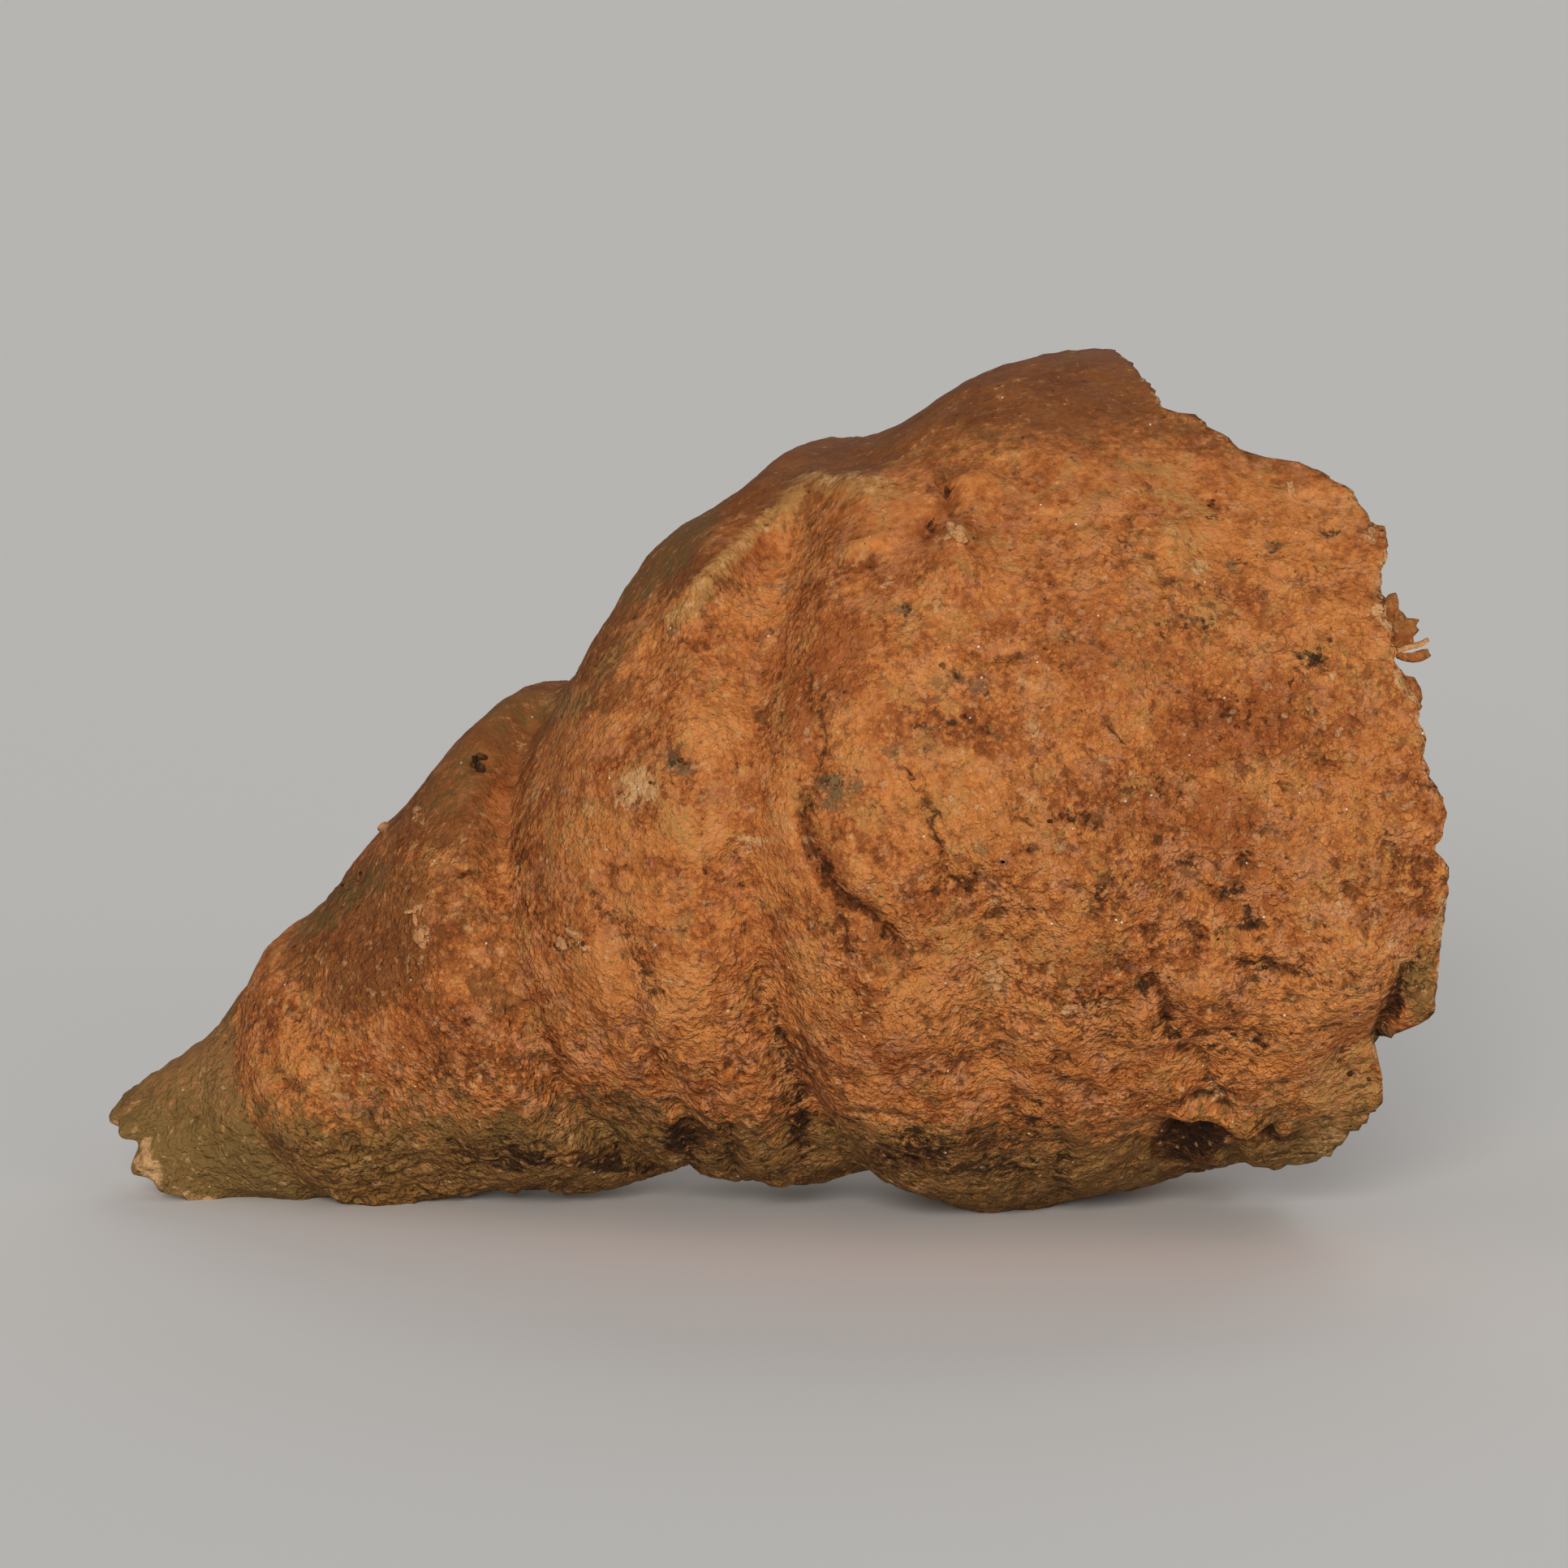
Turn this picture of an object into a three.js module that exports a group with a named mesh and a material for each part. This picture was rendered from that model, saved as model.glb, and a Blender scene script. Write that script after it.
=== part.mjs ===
// Fossil horn coral, one solid piece of stone lying on its side.
// Millimetres, +Z up, +X from the broken apex toward the open cup.
//
// The horn is a skin of rings strung from the apex to the cup. Each ring is
// round, and is given by its highest point (the crest) and its lowest point
// (the keel). The skin folds in over an uneven rim and goes down the cup as
// radial ridges, the septa; at the other end it closes over the broken apex.
import * as THREE from 'three';

// ---- Driving dimensions ----------------------------------------------------

const septa = 48;                 // radial ridges in the cup
const skinRings = 36;             // rings of points from apex to rim
const cupRings = 9;               // rings of points from rim to cup centre
const tipRings = 3;               // rings of points across the broken apex
const columns = 2 * septa;        // a ridge and a furrow for each septum

const floorCut = 0.35;            // how much the rest has worn flat below
const centring = { x: 0.68, y: 0.6 };   // puts the origin under the middle

// Stations along the horn, apex first:
// crest x, crest z, keel x, keel z, depth of the centre, forward lean.
// The lean is how far the near side of a ring hangs back toward the apex,
// as a share of the ring's radius; the far side leads by the same amount.
const stations = [
  [-30.1, 4.6, -25.8, -0.7, 2.2, 0.30],
  [-28.0, 6.1, -23.8, 0.1, 2.1, 0.32],
  [-25.8, 7.7, -21.3, 0.1, 1.9, 0.34],
  [-24.3, 9.8, -19.3, 0.0, 1.8, 0.36],
  [-22.8, 12.1, -17.3, 0.0, 1.7, 0.38],
  [-20.7, 13.6, -14.9, 0.4, 1.5, 0.39],
  [-18.7, 15.9, -12.7, 0.8, 1.4, 0.40],
  [-16.3, 18.7, -10.1, 1.0, 1.2, 0.41],
  [-13.7, 21.7, -7.3, 1.0, 1.0, 0.42],
  [-11.7, 23.2, -5.3, 1.4, 0.9, 0.42],
  [-9.9, 23.4, -3.6, 1.8, 0.7, 0.42],
  [-8.0, 25.0, -2.2, 1.6, 0.6, 0.42],
  [-6.1, 27.9, -0.8, 1.5, 0.5, 0.42],
  [-4.0, 30.6, 0.7, 1.5, 0.4, 0.42],
  [-1.6, 32.3, 2.0, 1.3, 0.2, 0.42],
  [1.2, 34.4, 3.6, 1.6, 0.0, 0.42],
  [3.4, 34.6, 5.4, 1.9, -0.1, 0.42],
  [6.0, 35.6, 7.2, 0.9, -0.2, 0.40],
  [8.5, 37.2, 9.4, 0.2, -0.3, 0.36],
  [11.1, 38.2, 11.6, 0.0, -0.3, 0.30],
  [13.8, 38.6, 13.8, 0.6, -0.4, 0.23],
  [16.9, 38.6, 16.5, 1.0, -0.5, 0.16],
  [20.1, 38.3, 19.4, 2.1, -0.6, 0.09],
  [23.4, 37.9, 22.1, 2.2, -0.7, 0.03],
  [26.7, 37.5, 24.8, 2.3, -0.9, 0.0],
  [29.9, 37.0, 27.7, 2.5, -0.9, 0.0],
];

// The rim, from crest to keel, as how far along x it stands at a height z.
const nearRim = [
  [38.6, 14.6], [37.1, 16.4], [36.3, 18.2], [35.0, 20.2], [34.5, 22.4],
  [33.4, 24.5], [32.0, 26.0], [29.4, 26.0], [27.4, 26.4], [25.0, 27.2],
  [22.7, 27.7], [19.6, 28.7], [18.2, 28.2], [16.0, 28.9], [13.9, 29.1],
  [11.6, 29.0], [10.6, 28.2], [9.2, 26.5], [8.1, 26.0], [6.6, 26.4],
  [4.8, 25.4], [2.8, 23.9], [1.2, 20.5],
];
const farRim = [
  [38.6, 14.6], [37.4, 15.4], [36.0, 16.8], [34.6, 19.4], [33.2, 22.6],
  [32.6, 23.4], [31.4, 24.0], [29.6, 27.4], [28.4, 27.4], [27.0, 27.0],
  [26.2, 28.9], [25.3, 28.0], [24.6, 30.3], [23.4, 30.3], [22.7, 28.2],
  [20.0, 26.8],
  [16.0, 25.6], [12.0, 24.4], [8.0, 23.4], [4.6, 22.6], [1.2, 20.5],
];

const rimWall = 1.7;              // thickness of the wall at the rim
const cupFloorStation = 18.2;     // where the cup's floor lies
const cupBoss = 1.3;              // rise in the middle of the floor
const septumHeight = 1.15;        // ridge height on the cup wall
const rimTooth = 0.45;            // how far a septum stands out of the rim

// Grooves that follow a ring: station, depth, half width in stations,
// middle angle and half angle (degrees from the crest, near side positive).
const ringGrooves = [
  [3.0, 0.55, 0.45, 100, 95],
  [9.8, 0.75, 0.55, 90, 100],
  [13.2, 0.5, 0.5, 120, 50],
  [16.6, 0.95, 0.5, 95, 75],
  [19.6, 0.6, 0.5, 140, 45],
  [6.8, 0.45, 0.5, 250, 70],
  [14.4, 0.7, 0.5, 262, 75],
  [21.2, 0.6, 0.5, 255, 60],
];

// Chips out of the broken apex's edge: middle angle, half angle, depth.
const tipChips = [
  [66, 9, 0.7],
  [128, 20, 0.9],
  [205, 24, 0.6],
  [292, 22, 0.8],
];

// Mounds and hollows: x, z, side (1 near, -1 far), radius, height.
const mounds = [
  [-3.5, 29.3, 1, 2.6, 0.8],
  [1.5, 31.6, 1, 2.6, 0.8],
  [7.2, 30.0, 1, 1.5, 1.0],
  [-3.0, 20.5, 1, 3.4, 0.5],
  [4.0, 21.0, 1, 3.0, 0.6],
  [13.5, 17.0, 1, 4.5, 0.5],
  [19.5, 12.5, 1, 3.4, 0.8],
  [19.5, 3.9, 1, 2.4, 1.1],
  [16.5, 3.2, 1, 1.8, -1.2],
  [24.5, 13.5, 1, 2.4, 0.7],
  [25.0, 8.6, 1, 1.5, -0.9],
  [-9.5, 13.0, 1, 3.0, 0.5],
  [-14.0, 6.0, 1, 2.6, 0.5],
  [-20.5, 4.5, 1, 2.0, 0.4],
  [-6.0, 17.0, -1, 3.6, 0.9],
  [8.0, 26.0, -1, 4.0, 1.0],
  [14.5, 11.0, -1, 4.2, 0.9],
  [3.0, 8.5, -1, 3.4, -0.8],
  [-15.5, 9.5, -1, 2.8, 0.6],
  [20.5, 22.0, -1, 3.2, -0.7],
];

// ---- Helpers ---------------------------------------------------------------

/** Smooth curve through one column of the stations, at station number s. */
function along(column, s) {
  const last = stations.length - 1;
  const index = Math.min(Math.max(Math.floor(s), 0), last - 1);
  const value = (k) => stations[Math.min(Math.max(k, 0), last)][column];
  const [a, b, c, d] = [-1, 0, 1, 2].map((k) => value(index + k));
  const t = s - index;
  const slopeIn = (c - a) / 2;
  const slopeOut = (d - b) / 2;
  return b + t * (slopeIn + t * (3 * (c - b) - 2 * slopeIn - slopeOut
    + t * (2 * (b - c) + slopeIn + slopeOut)));
}

/** Straight-line reading of [height, reach] pairs that run downward. */
function rimReading(pairs, z) {
  if (z >= pairs[0][0]) return pairs[0][1];
  for (let k = 1; k < pairs.length; k += 1) {
    const [z1, x1] = pairs[k];
    const [z0, x0] = pairs[k - 1];
    if (z >= z1) return x0 + (x1 - x0) * (z0 - z) / (z0 - z1);
  }
  return pairs[pairs.length - 1][1];
}

const hump = (distance) => Math.exp(-distance * distance);

/** A slow, repeatable unevenness between about -1 and 1. */
function unevenness(p) {
  return 0.5 * Math.sin(0.61 * p.x + 1.7 * Math.sin(0.37 * p.z) + 0.4)
    + 0.3 * Math.sin(0.83 * p.z - 0.52 * p.y + 2.1)
    + 0.2 * Math.sin(1.31 * p.y + 0.97 * p.x + 0.9 * Math.sin(0.7 * p.z));
}

// ---- The skin --------------------------------------------------------------

/** Middle, radius and directions of the ring at station s. */
function ringAt(s) {
  const crest = new THREE.Vector3(along(0, s), 0, along(1, s));
  const keel = new THREE.Vector3(along(2, s), 0, along(3, s));
  const middle = crest.clone().add(keel).multiplyScalar(0.5);
  middle.y = along(4, s);
  const up = crest.clone().sub(keel);
  const radius = up.length() / 2;
  up.normalize();
  const forward = new THREE.Vector3(up.z, 0, -up.x);
  return { middle, up, forward, radius, lean: along(5, s) };
}

/** How far the surface stands off the plain ring, in millimetres. */
function relief(p, s, turn) {
  const degrees = THREE.MathUtils.radToDeg(turn);
  let height = 0.28 * unevenness(p);
  for (const [station, depth, width, centre, half] of ringGrooves) {
    const swing = Math.abs(degrees - centre);
    const fade = THREE.MathUtils.smoothstep(half - swing, 0, 30);
    height -= depth * fade * hump((s - station) / width);
  }
  for (const [x, z, side, radius, rise] of mounds) {
    const fade = THREE.MathUtils.smoothstep(side * Math.sin(turn), 0, 0.4);
    height += rise * fade * hump(Math.hypot(p.x - x, p.z - z) / radius);
  }
  return height * Math.min(1, 0.35 + Math.abs(Math.sin(turn)));
}

/** Point on the outside at station s; turn runs from the crest, near side first. */
function skinPoint(s, turn) {
  const ring = ringAt(s);
  const outward = ring.up.clone().multiplyScalar(Math.cos(turn));
  outward.y -= Math.sin(turn);
  const p = ring.middle.clone().addScaledVector(outward, ring.radius);
  p.addScaledVector(ring.forward, -ring.lean * ring.radius * Math.sin(turn));
  return p.addScaledVector(outward, relief(p, s, turn));
}

/** Station number at which the skin meets the rim, at this turn. */
function rimStation(turn) {
  const pairs = Math.sin(turn) >= 0 ? nearRim : farRim;
  let low = 15;
  let high = stations.length - 1;
  for (let step = 0; step < 20; step += 1) {
    const middle = (low + high) / 2;
    const p = skinPoint(middle, turn);
    if (p.x < rimReading(pairs, p.z)) low = middle;
    else high = middle;
  }
  return low;
}

/** The uneven edge of the broken apex: how far forward it is chipped back. */
function tipBreak(turn) {
  const degrees = THREE.MathUtils.radToDeg(turn);
  let chip = 0.2 * Math.sin(7 * turn + 2.0) + 0.15 * Math.sin(13 * turn);
  for (const [centre, half, depth] of tipChips) {
    chip += depth * hump((degrees - centre) / half);
  }
  return chip;
}

// ---- The three stretches of the surface -------------------------------------

/** Broken face of the apex: inward 0 is the middle, 1 the edge. */
function tipPoint(inward, turn) {
  const ring = ringAt(0);
  const edge = skinPoint(0, turn);
  const p = ring.middle.clone().lerp(edge, inward);
  const grain = 0.35 * Math.sin(5 * turn + 4 * inward) * inward;
  return p.addScaledVector(ring.forward, grain + 0.7 * (1 - inward)
    + tipBreak(turn) * inward);
}

/** Outside of the horn: share 0 is the apex edge, 1 the rim. */
function outsidePoint(share, turn) {
  const p = skinPoint(share * rimStation(turn), turn);
  const nearTip = Math.max(0, 1 - share * 12);
  return p.addScaledVector(ringAt(0).forward, tipBreak(turn) * nearTip);
}

/** Inside of the cup: inward 0 is the rim, 1 the middle of the floor. */
function cupPoint(inward, turn, column) {
  const rim = rimStation(turn);
  const drop = Math.sin(inward * Math.PI / 2);
  const s = THREE.MathUtils.lerp(rim - 0.1, cupFloorStation, drop);
  const ring = ringAt(s);
  const spread = Math.cos(inward * Math.PI / 2) ** 0.75;
  const share = (1 - rimWall / ring.radius) * spread;
  const p = ring.middle.clone().lerp(skinPoint(s, turn), share);

  const onRidge = column % 2 === 0 ? 1 : -0.25;
  const fade = Math.min(1, 4 * inward + 0.3) * Math.min(1, 1.5 * spread);
  const lift = septumHeight * onRidge * fade * (1 - inward * 0.35);
  const towardMiddle = ring.middle.clone().sub(p);
  if (towardMiddle.length() > 0) towardMiddle.normalize();
  p.addScaledVector(towardMiddle, lift * spread);
  p.addScaledVector(ring.forward, lift * (1 - spread));
  p.addScaledVector(ring.forward, cupBoss * hump(share / 0.22));
  if (inward === 0) p.addScaledVector(ring.forward, rimTooth * (onRidge - 0.4));
  return p;
}

// ---- The solid -------------------------------------------------------------

function hornGeometry() {
  const rows = [];
  const addRow = (point) => {
    const row = [];
    for (let column = 0; column < columns; column += 1) {
      row.push(point(2 * Math.PI * column / columns, column));
    }
    rows.push(row);
  };
  for (let k = 1; k <= tipRings; k += 1) {
    addRow((turn) => tipPoint(k / (tipRings + 1), turn));
  }
  for (let k = 0; k <= skinRings; k += 1) {
    addRow((turn) => outsidePoint(k / skinRings, turn));
  }
  for (let k = 0; k < cupRings; k += 1) {
    addRow((turn, column) => cupPoint(k / cupRings, turn, column));
  }
  const poles = [tipPoint(0, 0), cupPoint(1, 0, 1)];

  const positions = [];
  for (const p of [...rows.flat(), ...poles]) {
    positions.push(p.x + centring.x, p.y + centring.y, Math.max(p.z - floorCut, 0));
  }
  const tipPole = rows.length * columns;
  const cupPole = tipPole + 1;
  const faces = [];
  for (let column = 0; column < columns; column += 1) {
    const next = (column + 1) % columns;
    faces.push(tipPole, next, column);
    for (let row = 0; row < rows.length - 1; row += 1) {
      const a = row * columns + column;
      const b = row * columns + next;
      faces.push(a, b, a + columns, b, b + columns, a + columns);
    }
    const lastRow = (rows.length - 1) * columns;
    faces.push(cupPole, lastRow + column, lastRow + next);
  }
  const geometry = new THREE.BufferGeometry();
  geometry.setAttribute('position', new THREE.Float32BufferAttribute(positions, 3));
  geometry.setIndex(faces);
  geometry.computeVertexNormals();
  return geometry;
}

const fossilStone = new THREE.MeshStandardMaterial({
  color: 0xb0692f, roughness: 0.85, metalness: 0,
});

const hornCoral = new THREE.Mesh(hornGeometry(), fossilStone);
hornCoral.name = 'horn_coral';

const coral = new THREE.Group();
coral.add(hornCoral);

export default coral;
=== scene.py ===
import math

import bpy
import numpy as np
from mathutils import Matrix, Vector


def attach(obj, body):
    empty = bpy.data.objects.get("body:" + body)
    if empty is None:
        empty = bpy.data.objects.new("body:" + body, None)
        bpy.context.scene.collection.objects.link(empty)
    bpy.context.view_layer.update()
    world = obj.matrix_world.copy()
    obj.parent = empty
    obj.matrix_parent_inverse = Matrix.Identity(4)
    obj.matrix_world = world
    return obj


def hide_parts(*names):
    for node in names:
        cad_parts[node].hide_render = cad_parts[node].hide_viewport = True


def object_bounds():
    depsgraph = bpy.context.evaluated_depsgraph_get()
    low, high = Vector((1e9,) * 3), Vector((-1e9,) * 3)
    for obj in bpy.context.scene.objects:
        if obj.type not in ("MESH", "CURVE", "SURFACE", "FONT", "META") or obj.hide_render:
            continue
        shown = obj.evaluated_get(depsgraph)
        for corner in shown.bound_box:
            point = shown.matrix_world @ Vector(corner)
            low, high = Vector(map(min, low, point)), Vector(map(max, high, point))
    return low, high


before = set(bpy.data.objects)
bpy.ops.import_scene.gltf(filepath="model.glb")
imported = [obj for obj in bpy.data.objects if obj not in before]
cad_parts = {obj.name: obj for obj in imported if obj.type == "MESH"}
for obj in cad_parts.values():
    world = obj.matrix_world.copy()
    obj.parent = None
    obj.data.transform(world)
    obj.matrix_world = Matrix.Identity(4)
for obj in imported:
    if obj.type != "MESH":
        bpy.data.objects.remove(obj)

cad_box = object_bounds()

# A fossil horn coral, one piece of stone lying on its side: broken apex at -X,
# open cup at +X. Lengths are millimetres until a mesh is made, then metres.

# ---- Picture and camera ------------------------------------------------------

MM = 0.001
PICTURE_SIZE = 1932               # pixels across and down
MM_PER_PIXEL = 0.0364             # at the horn's middle
CAMERA_DISTANCE = 400.0
CAMERA_DROP = math.radians(6)     # how far it looks down
SENSOR_WIDTH = 36.0
LOOK_AT = np.array([0.68, 0.6, 18.75])
SIGHT = np.array([0, math.cos(CAMERA_DROP), -math.sin(CAMERA_DROP)])
PICTURE_UP = np.array([0, math.sin(CAMERA_DROP), math.cos(CAMERA_DROP)])


def make_camera():
    data = bpy.data.cameras.new("camera")
    data.sensor_width = SENSOR_WIDTH
    picture_width = PICTURE_SIZE * MM_PER_PIXEL
    data.lens = SENSOR_WIDTH * CAMERA_DISTANCE / picture_width
    data.clip_start = 0.01
    camera = bpy.data.objects.new("camera", data)
    camera.location = (LOOK_AT - CAMERA_DISTANCE * SIGHT) * MM
    camera.rotation_euler = (math.pi / 2 - CAMERA_DROP, 0, 0)
    bpy.context.scene.collection.objects.link(camera)
    bpy.context.scene.camera = camera


def picture_place(points):
    """Pixel across and pixel down of points in millimetres: offset from the
    point looked at, divided by the millimetres that a pixel covers there."""
    offset = points - LOOK_AT
    scale = MM_PER_PIXEL * (1 + offset @ SIGHT / CAMERA_DISTANCE)
    middle = PICTURE_SIZE / 2
    return middle + offset[..., 0] / scale, middle - offset @ PICTURE_UP / scale


def picture_point(across, down, depth):
    """The point in millimetres that stands at a pixel, at a depth along the
    sight line behind the point looked at: picture_place turned round."""
    scale = MM_PER_PIXEL * (1 + depth / CAMERA_DISTANCE)
    middle = PICTURE_SIZE / 2
    return (LOOK_AT + np.array([1.0, 0, 0]) * ((across - middle) * scale)[..., None]
            + PICTURE_UP * ((middle - down) * scale)[..., None]
            + SIGHT * (depth + 0 * across)[..., None])


# ---- Floor and light ---------------------------------------------------------

FLOOR_COLOUR = (0.90, 0.89, 0.87, 1)
FLOOR_HALF = 8.0
ROOM_LIGHT = 0.23
# name: azimuth from -Y toward +X and height above the floor, in degrees,
# strength, width of the light in degrees, colour
LAMPS = {
    "key": (-5, 15, 2.25, 20, (1.0, 0.97, 0.93)),
    "fill": (30, 5, 0.42, 40, (0.96, 0.98, 1.0)),
    "back": (165, 32, 0.50, 40, (1.0, 0.99, 0.97)),
}


def make_floor():
    data = bpy.data.meshes.new("floor")
    corners = [(-1, -1), (1, -1), (1, 1), (-1, 1)]
    data.from_pydata([(x * FLOOR_HALF, y * FLOOR_HALF, 0) for x, y in corners],
                     [], [(0, 1, 2, 3)])
    floor = bpy.data.objects.new("floor", data)
    bpy.context.scene.collection.objects.link(floor)
    paper = bpy.data.materials.new("pale_paper")
    paper.use_nodes = True
    shader = paper.node_tree.nodes["Principled BSDF"]
    shader.inputs["Base Color"].default_value = FLOOR_COLOUR
    shader.inputs["Roughness"].default_value = 0.9
    shader.inputs["Specular IOR Level"].default_value = 0.2
    data.materials.append(paper)


def make_lights():
    world = bpy.data.worlds.new("room")
    world.use_nodes = True
    background = world.node_tree.nodes["Background"]
    background.inputs["Color"].default_value = (1, 1, 1, 1)
    background.inputs["Strength"].default_value = ROOM_LIGHT
    bpy.context.scene.world = world
    for name, (azimuth, height, strength, width, colour) in LAMPS.items():
        data = bpy.data.lights.new(name, "SUN")
        data.energy = strength
        data.angle = math.radians(width)
        data.color = colour
        lamp = bpy.data.objects.new(name, data)
        lamp.rotation_euler = (math.radians(90 - height), 0, math.radians(azimuth))
        bpy.context.scene.collection.objects.link(lamp)


# ---- The horn's plain form ---------------------------------------------------

SEPTA = 48                        # radial ridges in the cup
FLOOR_CUT = 0.35                  # worn flat below
CENTRING = np.array([0.68, 0.6, -FLOOR_CUT])

# crest x, crest z, keel x, keel z, depth of the centre, forward lean
STATIONS = np.array([
    [-30.1, 4.6, -25.8, -0.7, 2.2, 0.30],
    [-28.0, 6.1, -23.8, 0.1, 2.1, 0.32],
    [-25.8, 7.7, -21.3, 0.1, 1.9, 0.34],
    [-24.3, 9.8, -19.3, 0.0, 1.8, 0.36],
    [-22.8, 12.1, -17.3, 0.0, 1.7, 0.38],
    [-20.7, 13.6, -14.9, 0.4, 1.5, 0.39],
    [-18.7, 15.9, -12.7, 0.8, 1.4, 0.40],
    [-16.3, 18.7, -10.1, 1.0, 1.2, 0.41],
    [-13.7, 21.7, -7.3, 1.0, 1.0, 0.42],
    [-11.7, 23.2, -5.3, 1.4, 0.9, 0.42],
    [-9.9, 23.4, -3.6, 1.8, 0.7, 0.42],
    [-8.0, 25.0, -2.2, 1.6, 0.6, 0.42],
    [-6.1, 27.9, -0.8, 1.5, 0.5, 0.42],
    [-4.0, 30.6, 0.7, 1.5, 0.4, 0.42],
    [-1.6, 32.3, 2.0, 1.3, 0.2, 0.42],
    [1.2, 34.4, 3.6, 1.6, 0.0, 0.42],
    [3.4, 34.6, 5.4, 1.9, -0.1, 0.42],
    [6.0, 35.6, 7.2, 0.9, -0.2, 0.40],
    [8.5, 37.2, 9.4, 0.2, -0.3, 0.36],
    [11.1, 38.2, 11.6, 0.0, -0.3, 0.30],
    [13.8, 38.6, 13.8, 0.6, -0.4, 0.23],
    [16.9, 38.6, 16.5, 1.0, -0.5, 0.16],
    [20.1, 38.3, 19.4, 2.1, -0.6, 0.09],
    [23.4, 37.9, 22.1, 2.2, -0.7, 0.03],
    [26.7, 37.5, 24.8, 2.3, -0.9, 0.0],
    [29.9, 37.0, 27.7, 2.5, -0.9, 0.0],
])

# The rim from crest to keel: height z, then how far along x it stands there.
NEAR_RIM = np.array([
    [38.6, 14.8], [37.9, 15.9], [37.1, 16.6], [36.5, 16.9], [36.3, 18.4], [35.6, 19.2], [35.0, 20.2],
    [34.6, 21.4], [34.5, 22.4], [33.9, 23.6], [33.2, 24.7], [32.4, 25.4], [31.6, 26.0], [30.6, 26.0],
    [29.4, 25.9], [28.4, 25.9], [27.4, 26.3], [26.4, 26.5], [25.0, 27.1], [23.6, 27.5], [22.7, 27.5],
    [21.4, 27.9], [20.4, 28.3], [19.6, 28.6], [18.9, 28.3], [18.2, 28.0], [17.4, 28.6], [16.0, 28.9],
    [14.8, 29.0], [13.9, 29.1], [12.6, 29.0], [11.6, 28.9], [11.0, 28.6], [10.6, 28.1], [9.8, 26.9],
    [9.2, 26.3], [8.6, 26.0], [8.1, 25.9], [7.4, 26.1], [6.6, 26.3], [5.6, 25.8], [4.8, 25.2],
    [3.8, 24.6], [2.8, 23.8], [1.8, 22.6], [1.2, 20.5],
])
FAR_RIM = np.array([
    [38.6, 14.8], [37.4, 15.0], [36.0, 15.9], [34.8, 17.6], [33.8, 19.0], [33.1, 20.4], [32.8, 21.6],
    [32.7, 22.8], [32.6, 23.8], [32.5, 24.5], [32.3, 25.0], [32.0, 25.4], [31.6, 25.5], [31.2, 24.9],
    [30.4, 26.0], [29.6, 27.2], [28.6, 27.5], [27.8, 26.9], [26.8, 27.3], [26.2, 28.4], [25.6, 27.8],
    [24.9, 28.7], [24.3, 28.9], [23.4, 28.8], [22.7, 28.1], [21.4, 27.5], [20.0, 26.7], [18.4, 26.6],
    [16.0, 25.5], [13.6, 25.1], [12.0, 24.3], [8.0, 23.4], [4.6, 22.6], [1.2, 20.5],
])

RIM_WALL = 1.7
CUP_FLOOR_STATION = 18.2
CUP_BOSS = 1.3
SEPTUM_HEIGHT = 1.35
RIM_CIRCLE = 9                    # radius of the circle that its noise is read on

# station, depth, half width in stations, middle angle, half angle in degrees
RING_GROOVES = [
    (3.0, 0.55, 0.45, 100, 95),
    (9.8, 0.75, 0.55, 90, 100),
    (13.2, 0.5, 0.5, 120, 50),
    (16.6, 0.95, 0.5, 95, 75),
    (19.6, 0.6, 0.5, 140, 45),
    (6.8, 0.45, 0.5, 250, 70),
    (14.4, 0.7, 0.5, 262, 75),
    (21.2, 0.6, 0.5, 255, 60),
]

# middle angle, half angle, depth of each chip in the broken apex's edge
TIP_CHIPS = [(66, 9, 0.7), (128, 20, 0.9), (205, 24, 0.6), (292, 22, 0.8)]

# x, z, side (1 near, -1 far), radius, height
MOUNDS = [
    (-3.5, 29.3, 1, 2.6, 0.8),
    (1.5, 31.6, 1, 2.6, 0.8),
    (7.2, 30.0, 1, 1.5, 1.0),
    (-3.0, 20.5, 1, 3.4, 0.5),
    (4.0, 21.0, 1, 3.0, 0.6),
    (13.5, 17.0, 1, 4.5, 0.5),
    (19.5, 12.5, 1, 3.4, 0.8),
    (19.5, 3.9, 1, 2.4, 1.1),
    (16.5, 3.2, 1, 1.8, -1.2),
    (24.5, 13.5, 1, 2.4, 0.7),
    (25.0, 8.6, 1, 1.5, -0.9),
    (-9.5, 13.0, 1, 3.0, 0.5),
    (-14.0, 6.0, 1, 2.6, 0.5),
    (-20.5, 4.5, 1, 2.0, 0.4),
    (-6.0, 17.0, -1, 3.6, 0.9),
    (8.0, 26.0, -1, 4.0, 1.0),
    (14.5, 11.0, -1, 4.2, 0.9),
    (3.0, 8.5, -1, 3.4, -0.8),
    (-15.5, 9.5, -1, 2.8, 0.6),
    (20.5, 22.0, -1, 3.2, -0.7),
    (23.9, 32.6, -1, 1.2, 0.9),
]


def smoothstep(low, high, value):
    """0 below low, 1 above high, and an S curve 3t^2 - 2t^3 between."""
    t = np.clip((value - low) / (high - low), 0, 1)
    return t * t * (3 - 2 * t)


def hump(distance):
    """A rounded hill: e to the minus distance squared."""
    return np.exp(-distance * distance)


def along(column, s):
    """Smooth curve through one column of the stations, read at station s: a
    cubic whose slope at each station is half the step between its neighbours."""
    last = len(STATIONS) - 1
    index = np.clip(np.floor(s), 0, last - 1).astype(int)
    a, b, c, d = (STATIONS[np.clip(index + k, 0, last), column] for k in (-1, 0, 1, 2))
    t = s - index
    slope_in = (c - a) / 2
    slope_out = (d - b) / 2
    bend = 3 * (c - b) - 2 * slope_in - slope_out
    twist = 2 * (b - c) + slope_in + slope_out
    return b + t * (slope_in + t * (bend + t * twist))


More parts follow.
